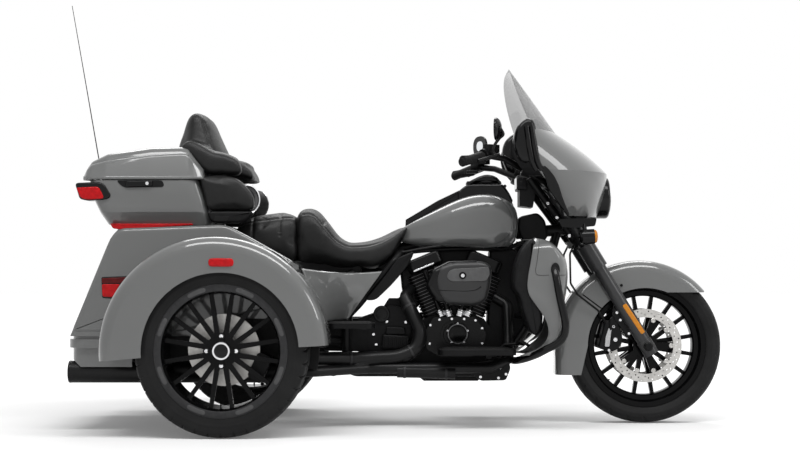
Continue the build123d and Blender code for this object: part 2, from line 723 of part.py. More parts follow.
with BuildPart() as main_frame:
    add(frame_bars(0))
    with BuildSketch(steering_plane(0)):
        Circle(STEM_R + RUN_GAP)
    extrude(amount=YOKE_RISE, mode=Mode.SUBTRACT)
write(main_frame, "main_frame")
frame_fit = frame_bars(SEAT_GAP)

# Engine: crankcase with two cylinder decks, finned cylinders at an included angle, rocker covers
VEE_HALF_DEG = 22.5
DECK = 105  # from the crank to a cylinder's foot
CASE_Y = 86
CASE_LEFT_Y = 118
FIN_COUNT = 13
FIN_PITCH = 13.5
FIN_T = 5.5
FIN_Y = 95
BARREL_R = 60
ROCKER_FOOT = 288
ROCKER_H = 58


def cylinder_plane(lean, up):
    """Plane square to a cylinder's axis; lean is +1 for the front cylinder and -1 for the rear one."""
    a = radians(lean * VEE_HALF_DEG)
    along = Vector(sin(a), 0, cos(a))
    return Plane(Vector(CRANK_X, 0, CRANK_Z) + along * up, x_dir=(cos(a), 0, -sin(a)), z_dir=along)


deck_mid = cylinder_plane(1, DECK - SEAT_GAP)
deck_peak = deck_mid.from_local_coords((-(deck_mid.origin.X - CRANK_X) / deck_mid.x_dir.X, 0, 0)).Z
deck_edge = deck_mid.from_local_coords((88, 0, 0))
deck_out = deck_edge.X - CRANK_X
# Right-side outline of the crankcase, from the crank: (ahead, height)
CASE_OUTLINE = (
    (-150, 196),
    (-124, 176),
    (96, 176),
    (126, 204),
    (160, 290),
    (165, 372),
    (deck_out, deck_edge.Z),
    (0, deck_peak),
    (-deck_out, deck_edge.Z),
    (-150, 400),
)


def from_crank(points):
    """Side outline given ahead of the crank, in the model's own place."""
    return [(CRANK_X + ahead, height) for ahead, height in points]


def from_rear_axle(points):
    """Side outline given ahead of the rear axle, in the model's own place."""
    return [(REAR_AXLE_X + ahead, height) for ahead, height in points]


right_face = Plane.XZ
with BuildPart() as crankcase:
    with BuildSketch(right_face.offset(-CASE_LEFT_Y)):
        Polygon(*from_crank(CASE_OUTLINE), align=None)
    extrude(amount=CASE_LEFT_Y + CASE_Y)
write(crankcase, "crankcase")

CAM_OUTLINE = ((-112, 306), (-60, 278), (70, 278), (118, 310), (128, 372), (84, 438), (-84, 438), (-124, 372))
TIMER_R = 56
with BuildPart() as cam_cover:
    add(rounded_slab(right_face.offset(CASE_Y + SEAT_GAP), from_crank(CAM_OUTLINE), 18, 42))
    with BuildSketch(right_face.offset(CASE_Y + 40)):
        with Locations((CRANK_X, CRANK_Z)):
            Circle(TIMER_R)
    extrude(amount=16)
    with BuildSketch(right_face.offset(CASE_Y + 56)):
        with Locations((CRANK_X, CRANK_Z)):
            Circle(TIMER_R - 10)
    extrude(amount=9)
    fillet(cam_cover.edges().filter_by(GeomType.CIRCLE).sort_by(Axis.Y)[0], 4)
write(cam_cover, "cam_cover")



def finned_cylinder(lean):
    """One cylinder: a barrel in square cooling fins, cut off where the two cylinders meet."""
    with BuildPart() as cylinder:
        with BuildSketch(cylinder_plane(lean, DECK)):
            Circle(BARREL_R)
        extrude(amount=ROCKER_FOOT - DECK - SEAT_GAP)
        for fin in range(FIN_COUNT):
            with BuildSketch(cylinder_plane(lean, DECK + 6 + fin * FIN_PITCH)):
                RectangleRounded(2 * FIN_Y - 8, 2 * FIN_Y, 26)
            extrude(amount=FIN_T)
        split(bisect_by=Plane((CRANK_X + lean * 4, 0, 0), z_dir=(lean, 0, 0)), keep=Keep.TOP)
    return cylinder.part


def rocker_cover(lean):
    """One rocker cover: a box with a rounded top, wider on the pushrod side."""
    with BuildPart() as cover:
        with BuildSketch(cylinder_plane(lean, ROCKER_FOOT)):
            with Locations((0, -16)):
                RectangleRounded(146, 214, 24)
        extrude(amount=ROCKER_H)
        fillet(cover.faces().sort_by(Axis.Z)[-1].edges(), 12)
    return cover.part


with BuildPart() as cylinders:
    for lean in (-1, 1):
        add(finned_cylinder(lean))
write(cylinders, "cylinders")

PUSHROD_Y = 112.5
with BuildPart() as rocker_covers:
    for lean in (-1, 1):
        add(rocker_cover(lean))
write(rocker_covers, "rocker_covers")

PUSHROD_R = 11
cam_top = max(height for ahead, height in CAM_OUTLINE)
with BuildPart() as pushrod_tubes:
    for lean in (-1, 1):
        for foot, head in ((20, -32), (52, 12)):
            start = Vector(CRANK_X + lean * foot, -PUSHROD_Y, cam_top + 3)
            stop = cylinder_plane(lean, ROCKER_FOOT - 2).from_local_coords((lean * head, -PUSHROD_Y, 0))
            with BuildSketch(Plane(start, x_dir=(0, 1, 0), z_dir=stop - start)):
                Circle(PUSHROD_R)
            extrude(amount=(stop - start).length)
            with BuildSketch(Plane(start, x_dir=(0, 1, 0), z_dir=stop - start)):
                Circle(PUSHROD_R + 5)
            extrude(amount=26)
    split(bisect_by=Plane((0, 0, cam_top + SEAT_GAP)), keep=Keep.TOP)
    for lean in (-1, 1):
        with BuildSketch(cylinder_plane(lean, ROCKER_FOOT - SEAT_GAP)):
            Rectangle(400, 400)
        extrude(amount=30, mode=Mode.SUBTRACT)
write(pushrod_tubes, "pushrod_tubes")

# Air cleaner: a rounded can on a short intake neck between the cylinders
AIR_OUTLINE = (
    (-122, 560), (-92, 632), (-28, 664), (90, 668), (128, 622), (124, 552), (82, 512), (20, 486), (-80, 502),
)
AIR_INNER_Y, AIR_OUTER_Y = 170, 302
with BuildPart() as air_cleaner:
    add(rounded_slab(right_face.offset(AIR_INNER_Y), from_crank(AIR_OUTLINE), 34, AIR_OUTER_Y - AIR_INNER_Y))
    fillet(air_cleaner.faces().sort_by(Axis.Y)[0].edges(), 24)
    with BuildSketch(right_face.offset(FIN_Y + SEAT_GAP)):
        with Locations((CRANK_X, 560)):
            Circle(24)
    extrude(amount=AIR_INNER_Y - FIN_Y)
    add(pushrod_tubes.part, mode=Mode.SUBTRACT)
write(air_cleaner, "air_cleaner")

# Gearbox behind the crankcase, and the primary drive cover on the left
GEARBOX_OUTLINE = ((-150.3, 196), (-150.3, 452), (-186, 512), (-268, 512), (-300, 462), (-392, 430), (-392, 218), (-372, 196))
GEARBOX_RIGHT_Y, GEARBOX_LEFT_Y = 104, 80
GEARBOX_COVER = ((-352, 300), (-190, 296), (-176, 400), (-204, 474), (-262, 486), (-352, 424))
with BuildPart() as gearbox:
    with BuildSketch(right_face.offset(-GEARBOX_LEFT_Y)):
        Polygon(*from_crank(GEARBOX_OUTLINE), align=None)
    extrude(amount=GEARBOX_LEFT_Y + GEARBOX_RIGHT_Y)
    add(rounded_slab(right_face.offset(GEARBOX_RIGHT_Y - 2), from_crank(GEARBOX_COVER), 24, 30))
write(gearbox, "gearbox")

PRIMARY_T = 66
CLUTCH_BACK, CLUTCH_Z = 330, 340
with BuildPart() as primary_cover:
    with BuildSketch(right_face.offset(-CASE_LEFT_Y - SEAT_GAP - PRIMARY_T)):
        with BuildLine():
            CenterArc((CRANK_X, CRANK_Z - 12), 104, 0, 360)
            CenterArc((CRANK_X - CLUTCH_BACK + 26, CLUTCH_Z), 98, 0, 360)
        make_hull()
    extrude(amount=PRIMARY_T)
    fillet(primary_cover.faces().sort_by(Axis.Y)[-1].edges(), 16)
    add(frame_fit, mode=Mode.SUBTRACT)
write(primary_cover, "primary_cover")

# Drive belt from the gearbox to the rear axle, on two pulleys
BELT_Y, BELT_W, BELT_T = 84, 28, 6
PULLEY_FRONT_R, PULLEY_REAR_R = 46, 104
pulley_places = ((CRANK_X - CLUTCH_BACK, CLUTCH_Z, PULLEY_FRONT_R), (REAR_AXLE_X, REAR_TYRE_R, PULLEY_REAR_R))


def belt_outline(grow):
    """Solid inside the belt's loop, grown by this much."""
    with BuildPart() as loop:
        with BuildSketch(right_face.offset(-BELT_Y - BELT_W)):
            with BuildLine():
                for x, z, radius in pulley_places:
                    CenterArc((x, z), radius + grow, 0, 360)
            make_hull()
        extrude(amount=BELT_W)
    return loop.part


# Rear axle: differential box, axle tubes with end flanges, and the spindles that carry the wheels
AXLE_TUBE_R = 44
FLANGE_R = 80
FLANGE_OUTER = REAR_WHEEL_Y + HUB_INNER - 7
DIFF_R = 92
with BuildPart() as rear_axle_housing:
    axle_mid = Plane((REAR_AXLE_X, 0, REAR_TYRE_R), x_dir=(1, 0, 0), z_dir=(0, -1, 0))
    with BuildSketch(axle_mid):
        Circle(AXLE_TUBE_R)
    extrude(amount=FLANGE_OUTER, both=True)
    with BuildSketch(axle_mid.offset(-BELT_Y + 6)):
        Circle(DIFF_R)
    extrude(amount=2 * BELT_Y - 20)
    for side in (-1, 1):
        with BuildSketch(axle_mid.offset(side * FLANGE_OUTER)):
            Circle(FLANGE_R)
        extrude(amount=-side * 12)
        with BuildSketch(axle_mid.offset(side * FLANGE_OUTER)):
            Circle(HALF_SHAFT_R)
        extrude(amount=side * (REAR_WHEEL_Y + REAR_SPOKE_OUT - FLANGE_OUTER - 4))
write(rear_axle_housing, "rear_axle_housing")

with BuildPart() as drive_belt:
    add(belt_outline(SEAT_GAP + BELT_T))
    add(belt_outline(SEAT_GAP), mode=Mode.SUBTRACT)
    front_x, front_z, front_r = pulley_places[0]
    with BuildSketch(right_face.offset(-GEARBOX_LEFT_Y - SEAT_GAP)):
        with Locations((front_x, front_z)):
            Circle(front_r)
    extrude(amount=GEARBOX_LEFT_Y + SEAT_GAP - BELT_Y - BELT_W)
    with BuildSketch(right_face.offset(-BELT_Y)):
        with Locations((REAR_AXLE_X, REAR_TYRE_R)):
            Circle(PULLEY_REAR_R)
            Circle(AXLE_TUBE_R + SEAT_GAP, mode=Mode.SUBTRACT)
    extrude(amount=-BELT_W)
write(drive_belt, "drive_belt")

# Swingarm between the frame's uprights and the rear axle
SWING_R = 24
SWING_PIVOT_Z = 338
with BuildPart() as swingarm:
    pivot_half = CRADLE_Y - FRAME_R - SEAT_GAP
    with BuildSketch(Plane((upright_x, 0, SWING_PIVOT_Z), x_dir=(1, 0, 0), z_dir=(0, -1, 0))):
        Circle(SWING_R)
    extrude(amount=pivot_half, both=True)
    for side in (-1, 1):
        route = [
            (upright_x, side * (pivot_half - 8), SWING_PIVOT_Z),
            (upright_x - 60, side * (pivot_half + 4), SWING_PIVOT_Z),
            (REAR_AXLE_X + 120, side * 236, REAR_TYRE_R + 4),
            (REAR_AXLE_X + 10, side * 236, REAR_TYRE_R),
        ]
        add(tube(route, SWING_R - 3, 40))
    with BuildSketch(Plane((REAR_AXLE_X, 0, REAR_TYRE_R), x_dir=(1, 0, 0), z_dir=(0, -1, 0))):
        Circle(AXLE_TUBE_R + SEAT_GAP)
    extrude(amount=FLANGE_OUTER, both=True, mode=Mode.SUBTRACT)
    add(frame_fit, mode=Mode.SUBTRACT)
write(swingarm, "swingarm")

SHOCK_Y, SHOCK_R = 310, 24
with BuildPart() as rear_shocks:
    with BuildSketch(Plane.XY.offset(REAR_TYRE_R + AXLE_TUBE_R + SEAT_GAP)):
        with Locations((REAR_AXLE_X, -SHOCK_Y), (REAR_AXLE_X, SHOCK_Y)):
            Circle(SHOCK_R)
    extrude(amount=BODY_FLOOR_Z - REAR_TYRE_R - AXLE_TUBE_R - 2 * SEAT_GAP)
write(rear_shocks, "rear_shocks")

# Rear brake calipers on a ring bolted to the axle's end flange
CALIPER_AHEAD, CALIPER_DOWN = 136, 64
with BuildPart() as rear_calipers:
    ring_in = FLANGE_OUTER - REAR_WHEEL_Y + SEAT_GAP
    with BuildSketch(rear_side.offset(ring_in)):
        Circle(FLANGE_R + 6)
        Polygon((40, 50), (170, -30), (130, -130), (-20, -80), align=None)
        Circle(REAR_HUB_R + MOVE_GAP, mode=Mode.SUBTRACT)
    extrude(amount=10)
    with BuildSketch(rear_side.offset(ring_in)):
        with Locations(Location((CALIPER_AHEAD, -CALIPER_DOWN, 0), -25)):
            RectangleRounded(58, 104, 16)
    extrude(amount=REAR_DISC_OUT + REAR_DISC_T + 26 - ring_in)
    with BuildSketch(rear_side.offset(REAR_DISC_OUT - MOVE_GAP)):
        Circle(REAR_DISC_R + MOVE_GAP)
    extrude(amount=REAR_DISC_T + 2 * MOVE_GAP, mode=Mode.SUBTRACT)
    mirror(about=Plane.XZ)
write(rear_calipers, "rear_calipers")

# Exhaust: two header pipes on the right, a crossover behind the gearbox, and a muffler each side
PIPE_R = 21
MUFFLER_R = 43
MUFFLER_Y = 360
MUFFLER_Z = 231
MUFFLER_FRONT, MUFFLER_TAIL = 228, -625  # ahead of the rear axle
muffler_front_x = REAR_AXLE_X + MUFFLER_FRONT + SEAT_GAP
crossover_x = upright_x - 44
FRONT_HEADER = (
    (CRANK_X + 160, -62, 520),
    (CRANK_X + 216, -84, 486),
    (CRANK_X + 216, -184, 268),
    (CRANK_X + 140, -219, 237),
    (CRANK_X - 350, -226, 236),
    (REAR_AXLE_X + 330, -MUFFLER_Y, MUFFLER_Z),
    (muffler_front_x, -MUFFLER_Y, MUFFLER_Z),
)
REAR_HEADER = (
    (CRANK_X - 168, -62, 560),
    (CRANK_X - 206, -150, 520),
    (CRANK_X - 128, -205, 350),
    (CRANK_X - 190, -218, 280),
    (CRANK_X - 340, -226, 268),
    (CRANK_X - 420, -262, 238),
)
CROSSOVER = (
    (crossover_x, -318, MUFFLER_Z),
    (crossover_x, 250, MUFFLER_Z),
    (REAR_AXLE_X + 330, MUFFLER_Y, MUFFLER_Z),
    (muffler_front_x, MUFFLER_Y, MUFFLER_Z),
)
with BuildPart() as exhaust_pipes:
    for route in (FRONT_HEADER, REAR_HEADER, CROSSOVER):
        add(tube(route, PIPE_R, 34))
    for lean in (-1, 1):
        with BuildSketch(cylinder_plane(lean, DECK)):
            Rectangle(2 * FIN_Y - 8 + 2 * SEAT_GAP, 2 * FIN_Y + 2 * SEAT_GAP)
        extrude(amount=ROCKER_FOOT - DECK + ROCKER_H, mode=Mode.SUBTRACT)
    add(frame_fit, mode=Mode.SUBTRACT)
write(exhaust_pipes, "exhaust_pipes")

with BuildPart() as mufflers:
    with BuildSketch(Plane.YZ.offset(REAR_AXLE_X + MUFFLER_TAIL)):
        with Locations((-MUFFLER_Y, MUFFLER_Z), (MUFFLER_Y, MUFFLER_Z)):
            Circle(MUFFLER_R)
    extrude(amount=MUFFLER_FRONT - MUFFLER_TAIL)
    front_rims = mufflers.edges().filter_by(GeomType.CIRCLE).group_by(Axis.X)[-1]
    chamfer(front_rims, 20)
    with BuildSketch(Plane.YZ.offset(REAR_AXLE_X + MUFFLER_TAIL)):
        with Locations((-MUFFLER_Y, MUFFLER_Z), (MUFFLER_Y, MUFFLER_Z)):
            Circle(MUFFLER_R - 6)
    extrude(amount=120, mode=Mode.SUBTRACT)
write(mufflers, "mufflers")

# Fuel tank: a teardrop over the backbone: (ahead of the crank, underside, top, half width, corner radius)
TANK = (
    (-238, 756, 778, 52, 10),
    (-110, 722, 858, 108, 44),
    (40, 704, 926, 148, 72),
    (150, 702, 938, 158, 78),
    (222, 722, 912, 146, 70),
    (262, 782, 846, 84, 28),
)
TANK_WELL_Y, TANK_WELL_Z = 130, 724  # hollow underside over the rocker covers


def tank_body(grow):
    """The tank's outside, with this much added all round."""
    slices = []
    for ahead, low, high, half, corner in TANK:
        with BuildSketch(Plane.YZ.offset(CRANK_X + ahead)) as station:
            with Locations((0, (low + high) / 2)):
                RectangleRounded(2 * half + 2 * grow, high - low + 2 * grow, corner)
        slices.append(station.sketch)
    with BuildPart() as body:
        loft(slices)
    return body.part


backbone_below = [(x, z) for x, y, z in BACKBONE]
with BuildPart() as fuel_tank:
    add(tank_body(0))
    add(tube(BACKBONE, BACKBONE_R + SEAT_GAP, 45), mode=Mode.SUBTRACT)
    with BuildSketch(right_face):
        Polygon(*backbone_below, (CRANK_X - 300, 500), (FRONT_AXLE_X - 291, 500), align=None)
    extrude(amount=BACKBONE_R + SEAT_GAP, both=True, mode=Mode.SUBTRACT)
    with BuildSketch(right_face):
        with Locations((CRANK_X, TANK_WELL_Z)):
            Rectangle(560, 120, align=(Align.CENTER, Align.MAX))
    extrude(amount=TANK_WELL_Y, both=True, mode=Mode.SUBTRACT)
write(fuel_tank, "fuel_tank")
tank_fit = tank_body(SEAT_GAP)

# Console along the top of the tank, with a hinged fuel door in a well at its front
CONSOLE_Y = 46
CONSOLE = ((-200, 790), (-198, 836), (-67, 914), (33, 962), (205, 966), (228, 938), (246, 896), (246, 820))
FUEL_DOOR = ((52, 971), (66, 1004), (104, 1026), (150, 1024), (188, 998), (202, 971))  # (ahead of the crank, height)
FUEL_DOOR_Y = 40
FUEL_HINGE = (213, 976)  # ahead of the crank, height
HINGE_PIN_R = 3
HINGE_BARREL_R = 6.5
HINGE_LUG = 5
HINGE_END_GAP = 0.5


def hinge_barrels(axis_plane, places, length, leaf_way, leaf_reach):
    """Moving half of a hinge: bored barrels along the plane's normal, each with a tab to its leaf."""
    with BuildPart() as barrels:
        for place in places:
            with BuildSketch(axis_plane.offset(place - length / 2)):
                Circle(HINGE_BARREL_R)
                with Locations(Location((0, 0, 0), leaf_way)):
                    Rectangle(leaf_reach, HINGE_BARREL_R, align=(Align.MIN, Align.CENTER))
                Circle(HINGE_PIN_R + RUN_GAP, mode=Mode.SUBTRACT)
            extrude(amount=length)
    return barrels.part


def hinge_pins(axis_plane, places, length, foot_way, foot_reach):
    """Fixed half of a hinge: a pin through each barrel between two lugs, each lug on its own foot."""
    reach = length / 2 + HINGE_END_GAP
    with BuildPart() as pins:
        for place in places:
            with BuildSketch(axis_plane.offset(place - reach)):
                Circle(HINGE_PIN_R)
            extrude(amount=2 * reach)
            for end in (-reach - HINGE_LUG, reach):
                with BuildSketch(axis_plane.offset(place + end)):
                    Circle(HINGE_BARREL_R)
                    with Locations(Location((0, 0, 0), foot_way)):
                        Rectangle(foot_reach, HINGE_BARREL_R, align=(Align.MIN, Align.CENTER))
                extrude(amount=HINGE_LUG)
    return pins.part


fuel_axis = Plane((CRANK_X + FUEL_HINGE[0], 0, FUEL_HINGE[1]), x_dir=(1, 0, 0), z_dir=(0, -1, 0))
with BuildPart() as tank_console:
    with BuildSketch(right_face):
        Polygon(*from_crank(CONSOLE), align=None)
    extrude(amount=CONSOLE_Y, both=True)
    fillet(tank_console.edges().filter_by(Plane.XZ).group_by(Axis.Z)[-1], 8)
    add(tank_fit, mode=Mode.SUBTRACT)
    add(hinge_pins(fuel_axis, (0,), 40, -90, 20))
write(tank_console, "tank_console")

with BuildPart() as fuel_door:
    add(rounded_slab(right_face.offset(-FUEL_DOOR_Y), from_crank(FUEL_DOOR), 4, 2 * FUEL_DOOR_Y))
    fillet(fuel_door.edges().filter_by(Axis.Y, reverse=True).group_by(Axis.Z)[-1], 3)
    add(hinge_barrels(fuel_axis, (0,), 40, 180, 16))
write(fuel_door, "fuel_door")

# Seats: a low rider's saddle that rises to a lumbar rest, and a raised passenger's seat behind it
RIDER_SIDE = (
    (-585, 642), (-590, 846), (-566, 876), (-540, 838), (-500, 770), (-452, 736), (-392, 734), (-312, 758),
    (-236, 806), (-204, 838), (-196, 816), (-240, 750), (-262, 672), (-312, 640),
)
RIDER_PLAN = ((-600, 180), (-420, 192), (-300, 150), (-190, 84))  # (ahead of the crank, half width)
with BuildPart() as rider_seat:
    with BuildSketch(right_face):
        Polygon(*from_crank(RIDER_SIDE), align=None)
    extrude(amount=200, both=True)
    with BuildSketch(Plane.XY.offset(SEAT_BASE_Z - 10)):
        Polygon(
            *[(CRANK_X + ahead, half) for ahead, half in RIDER_PLAN],
            *[(CRANK_X + ahead, -half) for ahead, half in reversed(RIDER_PLAN)],
            align=None,
        )
    extrude(amount=400, mode=Mode.INTERSECT)
    add(tank_fit, mode=Mode.SUBTRACT)
    add(tube(BACKBONE, BACKBONE_R + SEAT_GAP, 45), mode=Mode.SUBTRACT)
    with BuildSketch(right_face):
        Polygon(*backbone_below, (CRANK_X - 300, 500), (FRONT_AXLE_X - 291, 500), align=None)
    extrude(amount=BACKBONE_R + SEAT_GAP, both=True, mode=Mode.SUBTRACT)
    with BuildSketch(right_face):
        Polygon(*from_crank(CONSOLE), align=None)
    extrude(amount=CONSOLE_Y + SEAT_GAP, both=True, mode=Mode.SUBTRACT)
    add(frame_fit, mode=Mode.SUBTRACT)
write(rider_seat, "rider_seat")

PASSENGER_SIDE = (
    (0, 795.8), (8, 826), (80, 846), (232, 858), (244, 880), (274, 886), (291, 868), (296, 846), (296, 700), (272.5, 646),
    (82.2, 752.5),
)
PASSENGER_Y = 176
with BuildPart() as passenger_seat:
    add(rounded_slab(right_face.offset(-PASSENGER_Y), from_rear_axle(PASSENGER_SIDE), 2, 2 * PASSENGER_Y))
write(passenger_seat, "passenger_seat")

SIDE_PANEL = ((-600, 636), (-300, 636), (-440, 426), (-512, 426))
with BuildPart() as side_panels:
    panel_plane = right_face.offset(CRADLE_Y + FRAME_R + SEAT_GAP)
    add(rounded_slab(panel_plane, from_crank(SIDE_PANEL), 24, 18))
    mirror(about=Plane.XZ)
write(side_panels, "side_panels")

# Rear body: a hollow trunk across the axle, with a drop-down door in its sloped back
BODY_SIDE = (
    (-609, 372), (-456, 748), (-426, 785), (-9, 800), (82, 752), (273, 645), (273, 600), (150, 440), (-100, 440),
    (-115, 372),
)
TRUNK_INSIDE = ((-588, 384), (-446, 742), (-421, 776), (-112, 788), (-112, 384))
BODY_FRONT_INSIDE = ((-92, 450), (142, 450), (260, 606), (260, 638), (78, 742), (-14, 788), (-92, 785))
body_back_x, body_back_z = BODY_SIDE[0]
back_top_x, back_top_z = BODY_SIDE[1]
back_way = Vector(back_top_x - body_back_x, 0, back_top_z - body_back_z).normalized()
back_plane = Plane(
    (REAR_AXLE_X + body_back_x, 0, body_back_z), x_dir=(0, -1, 0), z_dir=Vector(-back_way.Z, 0, back_way.X)
)
RACK_Y = 130  # rails under the luggage box
DOOR_Y = BODY_Y - 110
DOOR_LOW, DOOR_HIGH = 48, 380  # up the sloped back from its foot
DOOR_T = 8
DOOR_HINGES = (-200, 200)
door_axis = Plane(back_plane.from_local_coords((0, DOOR_LOW - 14, 7)), x_dir=back_way, z_dir=(0, -1, 0))
with BuildPart() as trunk_body:
    with BuildSketch(right_face):
        Polygon(*from_rear_axle(BODY_SIDE), align=None)
    extrude(amount=BODY_Y, both=True)
    with BuildSketch(right_face):
        Polygon(*from_rear_axle(TRUNK_INSIDE), align=None)
        Polygon(*from_rear_axle(BODY_FRONT_INSIDE), align=None)
    extrude(amount=BODY_Y - BODY_WALL, both=True, mode=Mode.SUBTRACT)
    with BuildSketch(Plane.XY.offset(BODY_FLOOR_Z - 10)):
        with Locations((REAR_AXLE_X + 20, 0)):
            Rectangle(180, 240)
    extrude(amount=30, mode=Mode.SUBTRACT)
    with BuildSketch(back_plane.offset(1)):
        with Locations((0, (DOOR_LOW + DOOR_HIGH) / 2)):
            RectangleRounded(2 * DOOR_Y, DOOR_HIGH - DOOR_LOW, 30)
    extrude(amount=-40, mode=Mode.SUBTRACT)
    with BuildSketch(Plane.XY.offset(BOX_BASE_Z - SEAT_GAP)):
        with Locations((REAR_AXLE_X - 290, -RACK_Y), (REAR_AXLE_X - 290, RACK_Y)):
            Rectangle(320, 36)
    extrude(amount=-24)
    add(hinge_pins(door_axis, DOOR_HINGES, 50, -100, 12))
write(trunk_body, "trunk_body")

with BuildPart() as trunk_door:
    with BuildSketch(back_plane):
        with Locations((0, (DOOR_LOW + DOOR_HIGH) / 2)):
            RectangleRounded(2 * (DOOR_Y - MOVE_GAP), DOOR_HIGH - DOOR_LOW - 2 * MOVE_GAP, 25)
    extrude(amount=-DOOR_T)
    with BuildSketch(back_plane.offset(-1)):
        for place in DOOR_HINGES:
            with Locations((place, DOOR_LOW + MOVE_GAP)):
                Rectangle(50, 24, align=(Align.CENTER, Align.MIN))
    extrude(amount=9)
    add(hinge_barrels(door_axis, DOOR_HINGES, 50, 0, 26))
write(trunk_door, "trunk_door")

# Bumper skirt under the trunk, with the plate's four screw holes in its back wall
BUMPER_Y = BODY_Y - 20
BUMPER = ((-373, BUMPER_Y), (-612, BUMPER_Y), (-612, -BUMPER_Y), (-373, -BUMPER_Y))  # (ahead of the rear axle, out)
BUMPER_WALL = 8
BUMPER_LOW, BUMPER_BAND_LOW, BUMPER_BAND_HIGH = 252, 326, 360
BUMPER_BAND = 14
PLATE_W, PLATE_H, PLATE_HOLE_R = 146, 70, 3.3
PLATE_Z = 308
bumper_top = body_back_z - SEAT_GAP


def bumper_ring(out, low, high, wall):
    """Part of the skirt, standing out this far beyond its main face."""
    outer = [(x - (out if x < BUMPER[0][0] else 0), y + (out if y > 0 else -out)) for x, y in BUMPER]
    inner = [(x + (wall if x < BUMPER[0][0] else 0), y - (wall if y > 0 else -wall)) for x, y in BUMPER]
    place = Plane((REAR_AXLE_X, 0, low), x_dir=(1, 0, 0), z_dir=(0, 0, 1))
    with BuildPart() as ring:
        add(wall_section(place, outer, inner, 60 + out, 60 - wall))
        extrude(amount=high - low)
    return ring.part


with BuildPart() as rear_bumper:
    add(bumper_ring(0, BUMPER_LOW, bumper_top, BUMPER_WALL))
    add(bumper_ring(BUMPER_BAND, BUMPER_BAND_LOW, BUMPER_BAND_HIGH, BUMPER_WALL))
    with BuildSketch(Plane.YZ.offset(REAR_AXLE_X + MUFFLER_TAIL - 20)):
        with Locations((-MUFFLER_Y, MUFFLER_Z), (MUFFLER_Y, MUFFLER_Z)):
            Circle(MUFFLER_R + 8)
    extrude(amount=300, mode=Mode.SUBTRACT)
    with BuildSketch(Plane.YZ.offset(REAR_AXLE_X + BUMPER[1][0] - BUMPER_BAND - 2)):
        with Locations((0, PLATE_Z)):
            RectangleRounded(PLATE_W + 60, PLATE_H + 34, 10)
    extrude(amount=BUMPER_BAND + 2, mode=Mode.SUBTRACT)
    with BuildSketch(Plane.YZ.offset(REAR_AXLE_X + BUMPER[1][0] - 2)):
        with Locations((0, PLATE_Z)):
            with GridLocations(PLATE_W, PLATE_H, 2, 2):
                Circle(PLATE_HOLE_R)
    extrude(amount=BUMPER_WALL + 4, mode=Mode.SUBTRACT)
write(rear_bumper, "rear_bumper")

# Rear fenders: wide arched shells from the body's sides over the wheels
fender_x = REAR_AXLE_X - FENDER_CENTRE_BACK
FENDER_SIDE_LOW_R = 190
with BuildPart() as rear_fenders:
    root_y = BODY_Y + SEAT_GAP
    add(
        wall_section(
            radial_plane(fender_x, REAR_TYRE_R, FENDER_FRONT_DEG),
            [(FENDER_SIDE_Y, FENDER_SIDE_LOW_R), (FENDER_SIDE_Y, FENDER_R), (root_y, FENDER_R)],
            [
                (FENDER_SIDE_Y - FENDER_WALL, FENDER_SIDE_LOW_R),
                (FENDER_SIDE_Y - FENDER_WALL, FENDER_R - FENDER_WALL),
                (root_y, FENDER_R - FENDER_WALL),
            ],
            FENDER_SHOULDER_R,
            FENDER_SHOULDER_R - FENDER_WALL,
        )
    )
    revolve(
        axis=Axis((fender_x, 0, REAR_TYRE_R), (0, -1, 0)), revolution_arc=FENDER_REAR_DEG - FENDER_FRONT_DEG
    )
    with BuildSketch(rear_side.offset(-REAR_WHEEL_Y)):
        Circle(FENDER_OPENING_R)
    extrude(amount=FENDER_SIDE_Y + 10, mode=Mode.SUBTRACT)
    mirror(about=Plane.XZ)
write(rear_fenders, "rear_fenders")

# Luggage box: (height, rear edge, front edge, half width, corner radius), from the rear axle
BOX = ((BOX_BASE_Z, -491, -112, 250, 60), (862, -556, -114, 276, 70), (BOX_SEAM_Z, -612, -150, 290, 80))


def box_shell(grow, low, high):
    """Solid block in the box's outside shape, with this much added all round and at each end."""
    slices = []
    for height, rear, front, half, corner in BOX:
        lift = low if height == BOX_BASE_Z else high if height == BOX_SEAM_Z else 0
        with BuildSketch(Plane.XY.offset(height + lift)) as level:
            with Locations((REAR_AXLE_X + (rear + front) / 2, 0)):
                RectangleRounded(front - rear + 2 * grow, 2 * half + 2 * grow, corner + grow)
        slices.append(level.sketch)
    with BuildPart() as block:
        loft(slices)
    return block.part


LID_HINGE_Y = 306
LID_HINGES = (-440, -260)  # ahead of the rear axle
LID_SEAM = MOVE_GAP
lid_axis = Plane((REAR_AXLE_X, LID_HINGE_Y, BOX_SEAM_Z - 8), x_dir=(0, -1, 0), z_dir=(1, 0, 0))
with BuildPart() as tour_box:
    add(box_shell(0, 0, 0))
    add(box_shell(-BOX_WALL, BOX_WALL, 1), mode=Mode.SUBTRACT)
    add(hinge_pins(lid_axis, LID_HINGES, 60, 40, 28))
write(tour_box, "tour_box")
box_fit = box_shell(SEAT_GAP, -SEAT_GAP, SEAT_GAP)

# Lid of the luggage box: (height, pitch, middle, length, width, corner radius), from the rear axle
LID = (
    (BOX_SEAM_Z + LID_SEAM, 0, -384, 462, 584, 80),
    (1052, 5, -378, 430, 566, 84),
    (1104, 7, -352, 318, 470, 90),
)
LID_FRONT_CUT = ((-150, 980), (-236, 1124), (-236, 1200), (0, 1200), (0, 980))


def lid_block(shrink, lift):
    """Solid block in the lid's outside shape, made smaller all round and shifted up at its foot."""
    slices = []
    for row, (height, pitch, middle, length, width, corner) in enumerate(LID):
        a = radians(pitch)
        level = height + lift if row == 0 else height - shrink
        place = Plane((REAR_AXLE_X + middle, 0, level), x_dir=(cos(a), 0, sin(a)), z_dir=(-sin(a), 0, cos(a)))
        with BuildSketch(place) as ring:
            RectangleRounded(length - 2 * shrink, width - 2 * shrink, corner - shrink)
        slices.append(ring.sketch)
    with BuildPart() as block:
        loft(slices)
    return block.part


